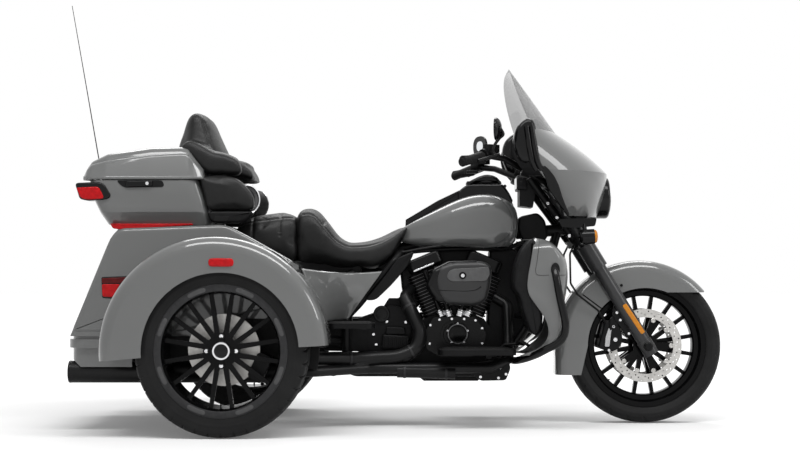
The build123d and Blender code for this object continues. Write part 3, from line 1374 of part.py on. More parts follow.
with BuildPart() as tour_box_lid:
    add(lid_block(0, 0))
    add(lid_block(BOX_WALL, -1), mode=Mode.SUBTRACT)
    add(hinge_barrels(lid_axis, LID_HINGES, 60, -40, 30))
write(tour_box_lid, "tour_box_lid")

# Passenger backrest: a tall centre pad with low arms, fixed on the front of the lid
BACKREST_SIDE = (
    (-130, 1000), (12, 1008), (16, 1050), (-60, 1106), (-100, 1202), (-140, 1250), (-168, 1261), (-190, 1243),
    (-212, 1200), (-244, 1134),
)
BACKREST_FRONT = (
    (-262, 1000), (-262, 1090), (-196, 1110), (-168, 1236), (-130, 1262), (130, 1262), (168, 1236), (196, 1110),
    (262, 1090), (262, 1000),
)
with BuildPart() as backrest:
    add(rounded_slab(right_face.offset(-280), from_rear_axle(BACKREST_SIDE), 3, 560))
    with BuildSketch(Plane.YZ.offset(REAR_AXLE_X - 300)):
        Polygon(*BACKREST_FRONT, align=None)
    extrude(amount=400, mode=Mode.INTERSECT)
    add(lid_block(-SEAT_GAP, -SEAT_GAP), mode=Mode.SUBTRACT)
write(backrest, "backrest")

POD_SIDE = (
    (-160, 990), (-96, 990), (56, 968), (104, 944), (122, 905), (108, 858), (62, 834), (-90, 818), (-125, 830),
)
POD_INNER_Y, POD_OUTER_Y = 182, 296
with BuildPart() as speaker_pods:
    add(rounded_slab(right_face.offset(POD_INNER_Y), from_rear_axle(POD_SIDE), 6, POD_OUTER_Y - POD_INNER_Y))
    add(box_fit, mode=Mode.SUBTRACT)
    mirror(about=Plane.XZ)
write(speaker_pods, "speaker_pods")

# Lamps at the rear corners of the body and of the luggage box
BODY_LAMP = ((-561, 518), (-527, 603), (-402, 604), (-440, 534), (-462, 512))
BODY_LAMP_Y = (BODY_Y - 82, BODY_Y + 12)
BOX_LAMP = ((-632, 974), (-500, 976), (-516, 906), (-620, 916))
BOX_LAMP_Y = (196, 298)
with BuildPart() as rear_lamps:
    for outline, (inner_y, outer_y) in ((BODY_LAMP, BODY_LAMP_Y), (BOX_LAMP, BOX_LAMP_Y)):
        with BuildSketch(right_face.offset(inner_y)):
            Polygon(*from_rear_axle(outline), align=None)
        extrude(amount=outer_y - inner_y)
    with BuildSketch(right_face):
        Polygon(*from_rear_axle([(x - SEAT_GAP, z) for x, z in BODY_SIDE]), align=None)
    extrude(amount=BODY_Y + SEAT_GAP, mode=Mode.SUBTRACT)
    add(box_fit, mode=Mode.SUBTRACT)
    mirror(about=Plane.XZ)
write(rear_lamps, "rear_lamps")

# Radio antenna on a bracket at the left rear of the luggage box
ANTENNA_Y = 236
ANTENNA_FOOT_BACK = 642
ANTENNA_FOOT_Z, ANTENNA_TOP_Z = 868, 1773
with BuildPart() as antenna:
    foot = Vector(REAR_AXLE_X - ANTENNA_FOOT_BACK, ANTENNA_Y, ANTENNA_FOOT_Z)
    tip = Vector(REAR_AXLE_X - ANTENNA_TIP_BACK + 3, ANTENNA_Y + 20, ANTENNA_TOP_Z)
    way = tip - foot
    for start, length, radius in ((0, 60, 11), (50, 130, 7), (170, way.length - 170, 3)):
        with BuildSketch(Plane(foot + way.normalized() * start, x_dir=(0, 1, 0), z_dir=way)):
            Circle(radius)
        extrude(amount=length)
    with BuildSketch(Plane.XY.offset(ANTENNA_FOOT_Z)):
        with Locations((foot.X - 16, ANTENNA_Y)):
            Rectangle(140, 44, align=(Align.MIN, Align.CENTER))
    extrude(amount=8)
    add(box_fit, mode=Mode.SUBTRACT)
write(antenna, "antenna")

# Crash bar round each lower fairing, from the frame's front tubes out, down and back under
GUARD_BAR_R = 16
GUARD_ROUTE = (
    (FRONT_AXLE_X - 384, -70, 652),
    (FRONT_AXLE_X - 410, -452, 650),
    (FRONT_AXLE_X - 402, -458, 540),
    (FRONT_AXLE_X - 384, -456, 364),
    (FRONT_AXLE_X - 420, -430, 280),
    (CRANK_X + 246, -124, 304),
)


def guard_bars(grow):
    """Both crash bars, with this much added to their radius."""
    with BuildPart() as bars:
        add(tube(GUARD_ROUTE, GUARD_BAR_R + grow, [40, 60, 60, 46]))
        mirror(about=Plane.XZ)
    return bars.part


with BuildPart() as engine_guard:
    add(guard_bars(0))
    add(frame_fit, mode=Mode.SUBTRACT)
write(engine_guard, "engine_guard")

# Lower fairings: (height, inner edge, bulge and outer edge as ahead of the front axle and out)
LOWER_WALL = 5
LOWERS = (
    (316, (-524, -216), (-446, -320), (-530, -404)),
    (430, (-470, -170), (-372, -330), (-462, -436)),
    (575, (-468, -170), (-368, -332), (-520, -440)),
    (742, (-480, -196), (-436, -330), (-497, -398)),
)
with BuildPart() as lower_fairings:
    slices = []
    for height, *corners in LOWERS:
        slices.append(arc_band(height, *[(FRONT_AXLE_X + ahead, y) for ahead, y in corners], LOWER_WALL))
    loft(slices)
    mirror(about=Plane.XZ)
    add(guard_bars(SEAT_GAP), mode=Mode.SUBTRACT)
write(lower_fairings, "lower_fairings")

RADIATOR_LOW, RADIATOR_HIGH = 350, 744
RADIATOR_X = (-600, -540)  # ahead of the front axle
RADIATOR_Y = (180, 410)
RADIATOR_ARM_Z = 562
RADIATOR_ARM = ((-578, 190), (-550, 190), (-412, 82), (-440, 70))  # to the frame's front tube
with BuildPart() as radiators:
    rear_x, front_x = RADIATOR_X
    with BuildSketch(Plane.XY.offset(RADIATOR_LOW)):
        with Locations((FRONT_AXLE_X + (rear_x + front_x) / 2, -sum(RADIATOR_Y) / 2)):
            RectangleRounded(front_x - rear_x, RADIATOR_Y[1] - RADIATOR_Y[0], 14)
    extrude(amount=RADIATOR_HIGH - RADIATOR_LOW)
    with BuildSketch(Plane.XY.offset(RADIATOR_ARM_Z)):
        Polygon(*[(FRONT_AXLE_X + ahead, -out) for ahead, out in RADIATOR_ARM], align=None)
    extrude(amount=20)
    add(frame_fit, mode=Mode.SUBTRACT)
    mirror(about=Plane.XZ)
write(radiators, "radiators")

# Footboards for rider and passenger, and the pedals: (rear, front, underside, inner, outer, arm middle)
BOARD_T = 20
ARM_T = 14
BOARDS = (
    (-72, 232, 296, 208, 408, 150),
    (-512, -320, 400, 262, 400, -440),
)
arm_y = CRADLE_Y + FRAME_R + SEAT_GAP
with BuildPart() as footboards:
    for rear, front, low, inner_y, outer_y, arm in BOARDS:
        with BuildSketch(Plane.XY.offset(low)):
            with Locations((CRANK_X + (rear + front) / 2, -(inner_y + outer_y) / 2)):
                RectangleRounded(front - rear, outer_y - inner_y, 36)
        extrude(amount=BOARD_T)
        with BuildSketch(Plane.XY.offset(low)):
            with Locations((CRANK_X + arm, -arm_y)):
                Rectangle(30, inner_y + 30 - arm_y, align=(Align.CENTER, Align.MAX))
        extrude(amount=ARM_T)
    rider_low, rider_arm = BOARDS[0][2], BOARDS[0][5]
    with BuildSketch(Plane.XY.offset(CRADLE_Z - 8)):
        with Locations((CRANK_X + rider_arm, -arm_y - 12)):
            Rectangle(50, 36, align=(Align.CENTER, Align.MIN))
    extrude(amount=rider_low + ARM_T - CRADLE_Z + 8)
    add(frame_fit, mode=Mode.SUBTRACT)
    mirror(about=Plane.XZ)
write(footboards, "footboards")

PEDAL_R = 7
with BuildPart() as foot_controls:
    pivot = Vector(CRANK_X + rider_arm - 14, -arm_y - 12 - SEAT_GAP, 281)
    with BuildSketch(Plane(pivot, x_dir=(1, 0, 0), z_dir=(0, -1, 0))):
        Circle(11)
    extrude(amount=14)
    lever_y = pivot.Y - 7
    add(
        tube(
            [
                (pivot.X, lever_y, pivot.Z),
                (pivot.X + 30, lever_y, pivot.Z),
                (pivot.X + 60, lever_y, 328),
                (CRANK_X + 250, lever_y - 12, 332),
                (CRANK_X + 268, lever_y - 70, 334),
            ],
            PEDAL_R,
            12,
        )
    )
    with BuildSketch(Plane((CRANK_X + 268, lever_y - 70, 334), x_dir=(0, 1, 0), z_dir=(0.5, 0, 0.86))):
        RectangleRounded(70, 46, 8)
    extrude(amount=12)
    mirror(about=Plane.XZ)
write(foot_controls, "foot_controls")

# Front turn signals, each on a short stalk under a bar that is bolted to the fork leg
SIGNAL_PLACE = Vector(FRONT_AXLE_X - 252, -208, 760)
SIGNAL_R = 30
SIGNAL_BAR = ((-366, 834), (-208, 840), (-216, 806), (-300, 798), (-350, 802))  # (ahead of the front axle, height)
SIGNAL_BAR_Y = (136, 172)
with BuildPart() as front_signals:
    with BuildSketch(Plane(SIGNAL_PLACE - Vector(34, 0, 0), x_dir=(0, 1, 0), z_dir=(1, 0, 0.05))):
        Circle(SIGNAL_R)
    extrude(amount=62)
    fillet(front_signals.edges().filter_by(GeomType.CIRCLE).sort_by(Axis.X)[0], 18)
    add(tube([SIGNAL_PLACE, SIGNAL_PLACE + Vector(-6, 26, 24), SIGNAL_PLACE + Vector(-8, 50, 60)], 9, 12))
    bar_outline = [(FRONT_AXLE_X + ahead, height) for ahead, height in SIGNAL_BAR]
    bar_in, bar_out = SIGNAL_BAR_Y
    add(rounded_slab(Plane.XZ.offset(bar_in), bar_outline, 8, bar_out - bar_in))
    for low, high, radius in LEG_STEPS:
        with BuildSketch(leg_plane(low)):
            Circle(radius + SEAT_GAP)
        extrude(amount=high - low, mode=Mode.SUBTRACT)
    mirror(about=Plane.XZ)
write(front_signals, "front_signals")

# Front brake lines, from the lower yoke down behind the fork to the calipers
LINE_R = 4
BRAKE_LINE = (
    (-290, -104, 742), (-312, -117, 694), (-310, -119, 574), (-280, -114, 528), (-196, -104, 464), (-158, -94, 404),
)  # (ahead of the front axle, out, height)
with BuildPart() as brake_lines:
    add(tube([(FRONT_AXLE_X + ahead, y, z) for ahead, y, z in BRAKE_LINE], LINE_R, 22))
    mirror(about=Plane.XZ)
    add(front_calipers.part, mode=Mode.SUBTRACT)
    add(fork_yokes.part, mode=Mode.SUBTRACT)
write(brake_lines, "brake_lines")
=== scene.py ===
import math

import bmesh
import bpy
import numpy as np
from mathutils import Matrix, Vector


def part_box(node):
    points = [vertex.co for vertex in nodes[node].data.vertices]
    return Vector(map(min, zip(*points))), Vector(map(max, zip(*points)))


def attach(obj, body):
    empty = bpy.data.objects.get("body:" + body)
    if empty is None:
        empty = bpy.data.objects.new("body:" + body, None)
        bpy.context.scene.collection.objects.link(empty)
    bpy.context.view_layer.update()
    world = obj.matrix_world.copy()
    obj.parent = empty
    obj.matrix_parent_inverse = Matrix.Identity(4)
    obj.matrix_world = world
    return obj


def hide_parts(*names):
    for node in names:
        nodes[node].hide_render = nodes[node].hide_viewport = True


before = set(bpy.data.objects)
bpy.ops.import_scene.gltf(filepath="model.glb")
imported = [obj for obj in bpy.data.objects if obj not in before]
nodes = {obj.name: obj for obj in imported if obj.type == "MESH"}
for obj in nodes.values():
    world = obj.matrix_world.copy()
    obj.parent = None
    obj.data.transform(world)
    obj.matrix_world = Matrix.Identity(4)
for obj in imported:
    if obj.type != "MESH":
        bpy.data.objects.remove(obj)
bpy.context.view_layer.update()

# Stage: a pale seamless floor, a plain white room and large soft lamps overhead. None of it belongs to
# the trike. Rays that leave the camera or come off metal and glass see white; the object gets an even,
# lower light.
def white_rays(tree):
    """Output that is one for rays from the camera, through glass or off a gloss, and zero for all
    others."""
    ray = tree.nodes.new("ShaderNodeLightPath")
    straight = tree.nodes.new("ShaderNodeMath")
    tree.links.new(ray.outputs["Is Camera Ray"], straight.inputs[0])
    tree.links.new(ray.outputs["Is Transmission Ray"], straight.inputs[1])
    seen = tree.nodes.new("ShaderNodeMath")
    seen.use_clamp = True
    tree.links.new(straight.outputs[0], seen.inputs[0])
    tree.links.new(ray.outputs["Is Glossy Ray"], seen.inputs[1])
    return seen.outputs[0]


scene = bpy.context.scene
scene.view_settings.view_transform = "Standard"
world = bpy.data.worlds.new("room")
scene.world = world
world.use_nodes = True
tree = world.node_tree
level = tree.nodes.new("ShaderNodeMapRange")
room_light, white = 0.46, 1.0
level.inputs["To Min"].default_value, level.inputs["To Max"].default_value = room_light, white
tree.links.new(white_rays(tree), level.inputs["Value"])
tree.nodes["Background"].inputs["Color"].default_value = (1.0, 1.0, 1.0, 1.0)
tree.links.new(level.outputs["Result"], tree.nodes["Background"].inputs["Strength"])

floor_data = bpy.data.meshes.new("floor")
reach = 40
floor_corners = [(-reach, -reach, 0), (reach, -reach, 0), (reach, reach, 0), (-reach, reach, 0)]
floor_data.from_pydata(floor_corners, [], [(0, 1, 2, 3)])
floor = bpy.data.objects.new("floor", floor_data)
scene.collection.objects.link(floor)
pale = bpy.data.materials.new("pale_floor")
pale.use_nodes = True
tree = pale.node_tree
mottle = tree.nodes.new("ShaderNodeTexNoise")
mottle.inputs["Scale"].default_value = 0.5
tone = tree.nodes.new("ShaderNodeMapRange")
tone.inputs["To Min"].default_value, tone.inputs["To Max"].default_value = 0.80, 0.84
tree.links.new(mottle.outputs["Fac"], tone.inputs["Value"])
shader = tree.nodes["Principled BSDF"]
tree.links.new(tone.outputs["Result"], shader.inputs["Base Color"])
shader.inputs["Roughness"].default_value = 0.8
shader.inputs["Specular IOR Level"].default_value = 0.0
# The floor glows for rays from the camera, through glass or off a gloss. This is painted light: it rises
# from 0.12 within 1.2 m of the middle to 0.75 beyond 5.5 m. The far floor reads white, and the floor round
# the trike is left darker where its shadow falls.
place = tree.nodes.new("ShaderNodeTexCoord")
away = tree.nodes.new("ShaderNodeVectorMath")
away.operation = "LENGTH"
tree.links.new(place.outputs["Object"], away.inputs[0])
fade = tree.nodes.new("ShaderNodeMapRange")
fade.interpolation_type = "SMOOTHSTEP"
fade.inputs["From Min"].default_value, fade.inputs["From Max"].default_value = 1.2, 5.5
fade.inputs["To Min"].default_value, fade.inputs["To Max"].default_value = 0.12, 0.75
tree.links.new(away.outputs["Value"], fade.inputs["Value"])
glow = tree.nodes.new("ShaderNodeMath")
glow.operation = "MULTIPLY"
tree.links.new(fade.outputs["Result"], glow.inputs[0])
tree.links.new(white_rays(tree), glow.inputs[1])
shader.inputs["Emission Color"].default_value = (1.0, 1.0, 1.0, 1.0)
tree.links.new(glow.outputs[0], shader.inputs["Emission Strength"])
floor_data.materials.append(pale)
for name, spot, size, power, aim in (
    ("key", (0.2, -2.2, 4.0), (4.6, 1.0), 150.0, (0.0, -0.2, 0.6)),
    ("back", (0.0, 2.6, 4.2), (4.6, 1.2), 110.0, (0.0, 0.0, 0.6)),
    ("nose", (4.2, -2.2, 2.6), (1.2, 1.6), 40.0, (0.5, 0.0, 0.7)),
):
    lamp = bpy.data.lights.new(name, "AREA")
    lamp.shape, lamp.size, lamp.size_y, lamp.energy = "RECTANGLE", size[0], size[1], power
    held = bpy.data.objects.new(name, lamp)
    scene.collection.objects.link(held)
    way = np.array(aim) - np.array(spot)
    held.location = spot
    pitch, heading = math.acos(-way[2] / np.linalg.norm(way)), math.atan2(way[1], way[0]) - math.pi / 2
    held.rotation_euler = (pitch, 0.0, heading)
eye = bpy.data.cameras.new("eye")
eye.sensor_width, eye.lens = 36.0, 68.6
camera = bpy.data.objects.new("eye", eye)
scene.collection.objects.link(camera)
eye_place, eye_pitch = (0.0515, -6.33, 0.608), math.radians(91.73)
camera.location = eye_place
camera.rotation_euler = (eye_pitch, 0.0, 0.0)
scene.camera = camera


# Painted bodywork: pressed steel and moulded panels under one solid grey gloss coat, bolted to the frame,
# the fork and the rear body. The coat has the faint ripple that sprayed paint has.
def finish(
    name, dark, light, grain, rough, metal=0.0, coat=0.0, bump=0.0, bump_grain=400.0, spread=0.05,
    gleam=0.5
):
    """Material whose colour drifts between two tones and whose roughness drifts by a spread, both by
    noise in object space, with a finer noise as relief."""
    mat = bpy.data.materials.new(name)
    mat.use_nodes = True
    tree = mat.node_tree
    shader = tree.nodes["Principled BSDF"]
    place = tree.nodes.new("ShaderNodeTexCoord")
    drift = tree.nodes.new("ShaderNodeTexNoise")
    drift.inputs["Scale"].default_value = grain
    drift.inputs["Detail"].default_value = 3.0
    tree.links.new(place.outputs["Object"], drift.inputs["Vector"])
    tones = tree.nodes.new("ShaderNodeValToRGB")
    tones.color_ramp.elements[0].position, tones.color_ramp.elements[1].position = 0.3, 0.7
    tones.color_ramp.elements[0].color = (*dark, 1.0)
    tones.color_ramp.elements[1].color = (*light, 1.0)
    tree.links.new(drift.outputs["Fac"], tones.inputs["Fac"])
    tree.links.new(tones.outputs["Color"], shader.inputs["Base Color"])
    gloss = tree.nodes.new("ShaderNodeMapRange")
    gloss.inputs["To Min"].default_value = max(rough - spread, 0.02)
    gloss.inputs["To Max"].default_value = min(rough + spread, 1.0)
    tree.links.new(drift.outputs["Fac"], gloss.inputs["Value"])
    tree.links.new(gloss.outputs["Result"], shader.inputs["Roughness"])
    shader.inputs["Metallic"].default_value = metal
    shader.inputs["Coat Weight"].default_value = coat
    shader.inputs["Coat Roughness"].default_value = 0.04
    shader.inputs["Specular IOR Level"].default_value = gleam
    if bump:
        fine = tree.nodes.new("ShaderNodeTexNoise")
        fine.inputs["Scale"].default_value = bump_grain
        tree.links.new(place.outputs["Object"], fine.inputs["Vector"])
        relief = tree.nodes.new("ShaderNodeBump")
        relief.inputs["Strength"].default_value = bump
        relief.inputs["Distance"].default_value = 0.001
        tree.links.new(fine.outputs["Fac"], relief.inputs["Height"])
        tree.links.new(relief.outputs["Normal"], shader.inputs["Normal"])
    return mat


def smooth(data):
    """Smooth shading on every face of a mesh."""
    data.polygons.foreach_set("use_smooth", np.ones(len(data.polygons), dtype=bool))


def wear(mat, *names):
    """Gives CAD nodes a material and smooth shading."""
    for name in names:
        piece = nodes[name]
        piece.data.materials.clear()
        piece.data.materials.append(mat)
        smooth(piece.data)
        piece.data.update()


grey_paint = finish(
    "grey_paint", (0.108, 0.110, 0.109), (0.116, 0.118, 0.117), 1.2, 0.30, coat=1.0, spread=0.02,
    bump=0.02, bump_grain=220.0, gleam=0.2
)
wear(
    grey_paint, "fuel_tank", "front_fender", "rear_fenders", "trunk_body", "trunk_door", "fairing_outer",
    "rear_bumper",
)

# Black coated castings, pressings and tubes: satin on the frame and brackets, gloss on covers and
# housings. The satin ones are powder coated, so their faces have a fine even grain.
satin_black = finish(
    "satin_black", (0.0026, 0.0026, 0.0028), (0.0050, 0.0050, 0.0053), 7.0, 0.40, bump=0.06,
    bump_grain=900.0, gleam=0.13
)
gloss_black = finish(
    "gloss_black", (0.0018, 0.0018, 0.0020), (0.0036, 0.0036, 0.0038), 4.0, 0.16, gleam=0.20
)
wear(
    satin_black, "main_frame", "rear_shocks", "fork_yokes", "rear_calipers", "footboards",
    "foot_controls", "handlebar", "hand_controls",
)
wear(gloss_black, "tank_console", "headlamp", "front_signals")

# Tyres: moulded rubber on a round crown, with slanted drain grooves cut in each shoulder and fine rings
# on the walls. The front one is narrow and round, the rear pair wide and square. Each is pushed over its
# rim.
rubber = finish("tyre_rubber", (0.0075, 0.0075, 0.0077), (0.0120, 0.0120, 0.0122), 14.0, 0.56, bump=0.25,
                bump_grain=700.0, gleam=0.14)
FRONT_HUB = (1.056, 0.0, 0.319)
SIDES = {"right": -1, "left": 1}
REAR_HUBS = {side: (-0.614, flip * 0.565, 0.325) for side, flip in SIDES.items()}


def skin(name, grids, mat, body, wraps=(False, True), crease=35.0):
    """One mesh from grids of points, each with rows, columns and x y z. Four neighbouring points span a
    face, and wraps says whether the last row and the last column join the first. Points that fall
    together are merged, which closes seams and poles, then the faces are turned outwards and edges
    sharper than the crease angle stay sharp."""
    points, faces, base = [], [], 0
    for grid in grids:
        rows, cols = grid.shape[:2]
        r = np.arange(rows if wraps[0] else rows - 1)[:, None]
        c = np.arange(cols if wraps[1] else cols - 1)[None, :]
        below, beside = (r + 1) % rows * cols, (c + 1) % cols
        quads = np.stack([r * cols + c, below + c, below + beside, r * cols + beside], axis=-1)
        points.append(grid.reshape(-1, 3))
        faces.append(quads.reshape(-1, 4) + base)
        base += rows * cols
    data = bpy.data.meshes.new(name)
    data.from_pydata(np.concatenate(points).tolist(), [], np.concatenate(faces).tolist())
    work = bmesh.new()
    work.from_mesh(data)
    same_place = 2e-6
    bmesh.ops.remove_doubles(work, verts=work.verts, dist=same_place)
    bmesh.ops.recalc_face_normals(work, faces=work.faces)
    work.to_mesh(data)
    work.free()
    smooth(data)
    data.set_sharp_from_angle(angle=math.radians(crease))
    data.materials.append(mat)
    piece = bpy.data.objects.new(name, data)
    scene.collection.objects.link(piece)
    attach(piece, body)
    return piece


def squared(wave, square):
    """Sine or cosine pushed towards a square wave: its sign times its size to the power 2 / square. On
    both waves of a circle this gives a superellipse."""
    return np.sign(wave) * np.abs(wave) ** (2 / square)


def tyre_grid(hub, outer, half, bead, bead_half, square, cuts, slant, lanes):
    """Tyre round its axle. Across it the crown is a superellipse of the given squareness between the two
    walls, and each wall runs in to the bead on a parabola. Round it, grooves sink where a slanted saw of
    the turn angle is near the middle of its tooth, and lanes where the place across is near a lane."""
    crown_share, shoulder_share = 0.66, 0.62
    groove_depth, groove_width, lane_width = 0.0070, 0.065, 0.035
    ridge_places, ridge_width, ridge_height = (0.22, 0.30, 0.72), 0.035, 0.0011
    turn = np.linspace(0, 2 * np.pi, 720, endpoint=False)[:, None]
    a = np.linspace(-1, 1, 76)[None, :]
    crown = np.abs(a) <= crown_share
    swing = np.clip(a / crown_share, -1, 1) * np.pi / 2
    shoulder = bead + shoulder_share * (outer - bead)
    y = half * squared(np.sin(swing), square)
    r = shoulder + (outer - shoulder) * np.cos(swing) ** (2 / square)
    wall = np.clip((np.abs(a) - crown_share) / (1 - crown_share), 0, 1)
    y = np.where(crown, y, np.sign(a) * (half - (half - bead_half) * wall**2))
    r = np.where(crown, r, shoulder - (shoulder - bead) * wall)
    across = np.abs(y) / half
    tooth = (cuts * turn / (2 * np.pi) + slant * across + 0.5 * (a > 0)) % 1.0
    reach = np.clip((across - 0.18) * 9, 0, 1) * np.clip((crown_share - np.abs(a)) * 40, 0, 1)
    groove = np.exp(-(((tooth - 0.5) / groove_width) ** 4)) * reach
    for lane in lanes:
        groove = np.maximum(groove, np.exp(-(((across - lane) / lane_width) ** 2)) * crown)
    ridge = sum(np.exp(-(((wall - spot) / ridge_width) ** 2)) for spot in ridge_places)
    r = r - groove_depth * groove
    y = y * (1 + 0 * turn) + np.sign(a) * ridge_height * ridge
    return np.stack([hub[0] + r * np.cos(turn), hub[1] + y, hub[2] + r * np.sin(turn)], axis=-1)


FRONT_SIZES = (0.3188, 0.0648, 0.245, 0.045, 2.3, 26, 1.1, ())
REAR_SIZES = (0.3248, 0.1072, 0.238, 0.100, 4.2, 40, 0.5, (0.2, 0.55))
tyres = [("front", FRONT_HUB, FRONT_SIZES)]
tyres += [(side + "_rear", hub, REAR_SIZES) for side, hub in REAR_HUBS.items()]
for place, hub, sizes in tyres:
    tyre = skin(place + "_tyre_tread", [tyre_grid(hub, *sizes)], rubber, place + "_wheel_body",
                wraps=(True, True), crease=60.0)
    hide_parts(place + "_tyre")

# Wheels: cast alloy with paired spokes, coated gloss black, the rear rims with a machined grey face ring.
# A cap closes each hub, round it four wheel bolts sit in cups, and a valve stands in each rim.
wheel_black = finish(
    "wheel_black", (0.0014, 0.0014, 0.0016), (0.0028, 0.0028, 0.0030), 6.0, 0.18, gleam=0.09, spread=0.04
)
wear(wheel_black, "front_wheel", "right_rear_wheel", "left_rear_wheel")
machined_grey = finish(
    "machined_grey", (0.022, 0.022, 0.023), (0.030, 0.030, 0.031), 60.0, 0.42, metal=0.3, spread=0.06,
    gleam=0.2
)
pad_grey = finish(
    "pad_grey", (0.052, 0.052, 0.053), (0.066, 0.066, 0.067), 80.0, 0.42, metal=0.3, gleam=0.3
)
bright = finish(
    "bright_plate", (0.60, 0.60, 0.61), (0.70, 0.70, 0.71), 30.0, 0.16, metal=1.0, spread=0.04
)


def turned(profile, centre, way, sides=40):
    """Profile of places along an axis and radii, turned about it: centre + place * way + radius * (cos t,
    sin t) in the plane square to the way."""
    profile, way = np.asarray(profile, float), np.asarray(way, float)
    way = way / np.linalg.norm(way)
    side = np.cross(way, (0.31, 0.23, 0.92))
    side /= np.linalg.norm(side)
    turn = np.linspace(0, 2 * np.pi, sides, endpoint=False)[:, None]
    ring = np.cos(turn) * side + np.sin(turn) * np.cross(way, side)
    return np.asarray(centre, float) + profile[:, :1, None] * way + profile[:, 1:, None] * ring[None]


def ring_places(hub, radius, count):
    """Places evenly round a wheel's axle at one radius."""
    turn = np.arange(count) * 2 * np.pi / count
    return np.stack(
        [hub[0] + radius * np.cos(turn), np.full(count, hub[1]), hub[2] + radius * np.sin(turn)], axis=-1
    )


CAP_SCREW = (
    (-0.004, 0.0), (-0.004, 1.0), (0.55, 1.0), (0.8, 0.86), (0.84, 0.55), (0.45, 0.5), (0.42, 0.0)
)


def screws(places, way, radius):
    """Round-headed cap screws with a dished socket, one turned profile at each place."""
    profile = np.array(CAP_SCREW) * radius
    return [turned(profile, place, way, 18) for place in np.atleast_2d(places)]


RIM_RING = [
    (-0.004, 0.2215), (0.0008, 0.2225), (0.0024, 0.2250), (0.0024, 0.2460), (0.0006, 0.2490),
    (-0.004, 0.2500)
]
HUB_CAP = [
    (-0.02, 0.0), (-0.02, 0.036), (0.004, 0.036), (0.008, 0.033), (0.0095, 0.029), (0.0115, 0.020),
    (0.012, 0.0)
]
HUB_BAND = [
    (0.005, 0.0355), (0.0095, 0.0350), (0.0125, 0.0325), (0.0125, 0.0265), (0.0105, 0.0250),
    (0.005, 0.0250)
]
BOLT_CUP = [
    (-0.012, 0.0), (-0.012, 0.0125), (0.002, 0.0125), (0.002, 0.0105), (-0.003, 0.0095), (-0.003, 0.0)
]
VALVE = [(0.0, 0.0), (0.0, 0.004), (0.012, 0.004), (0.013, 0.003), (0.026, 0.003), (0.027, 0.0)]
LONG_VALVE = [(0.0, 0.0), (0.0, 0.0042), (0.014, 0.0042), (0.015, 0.003), (0.034, 0.003), (0.035, 0.0)]
BOLT_CIRCLE, PAD_CIRCLE = 0.0555, 0.2355
for side, (hub_x, hub_y, hub_z) in REAR_HUBS.items():
    out = SIDES[side]
    outward, body = (0, out, 0), side + "_rear_wheel_body"
    face = (hub_x, hub_y + out * 0.1035, hub_z)
    skin(side + "_rim_ring", [turned(RIM_RING, face, outward, 160)], machined_grey, body)
    u, v = np.linspace(-1, 1, 15)[:, None], np.linspace(-1, 1, 7)[None, :]
    pads = []
    for turn in np.arange(8) * np.pi / 4 + 0.393:
        r = PAD_CIRCLE + 0.0095 * v * np.clip(1 - u**8, 0, 1) ** 0.5
        swing = turn + 0.16 * u + 0 * v
        lift = 0.0016 + 0.0024 * np.clip((1 - u**8) * (1 - v**6), 0, 1) ** 0.5
        place = [hub_x + r * np.cos(swing), face[1] + out * lift, hub_z + r * np.sin(swing)]
        pads.append(np.stack(place, axis=-1))
    skin(side + "_rim_pads", pads, pad_grey, body, wraps=(False, False))
    boss = (hub_x, hub_y + out * 0.0775, hub_z)
    skin(side + "_hub_cap", [turned(HUB_CAP, boss, outward)], gloss_black, body)
    skin(
        side + "_hub_band", [turned(HUB_BAND, boss, outward)], bright, body,
        wraps=(True, True)
    )
    bolts = ring_places(boss, BOLT_CIRCLE, 4)
    skin(
        side + "_bolt_cups", [turned(BOLT_CUP, p, outward, 24) for p in bolts], satin_black, body,
    )
    skin(
        side + "_wheel_bolts", screws(bolts - (0, out * 0.003, 0), outward, 0.0085), bright, body,
    )
    stem = turned(VALVE, (hub_x, hub_y + out * 0.08, hub_z - 0.222), (0, out * 0.3, 1), 12)
    skin(side + "_rear_valve", [stem], satin_black, body)
FRONT_BAND = [
    (-0.034, 0.228), (-0.034, 0.207), (-0.030, 0.2035), (-0.020, 0.2020), (0.020, 0.2020),
    (0.030, 0.2035), (0.034, 0.207), (0.034, 0.228)
]
skin(
    "front_rim_band", [turned(FRONT_BAND, FRONT_HUB, (0, 1, 0), 128)], wheel_black, "front_wheel_body",
    wraps=(True, True)
)
stem = turned(LONG_VALVE, np.array(FRONT_HUB) - (0.163, 0.012, 0.163), (0.66, -0.3, 0.66), 14)
skin("front_valve", [stem], satin_black, "front_wheel_body")

# Brakes: two drilled front discs of ground steel riveted to black carriers, a solid disc at each rear
# wheel, and black calipers, the front ones with a silver cover plate and cap screws.
ground_steel, disc_and_carrier = (
    finish(name, (0.42, 0.41, 0.395), (0.54, 0.53, 0.51), 45.0, 0.36, metal=0.85)
    for name in ("ground_steel", "disc_and_carrier"))
wear(ground_steel, "right_rear_disc", "left_rear_disc")


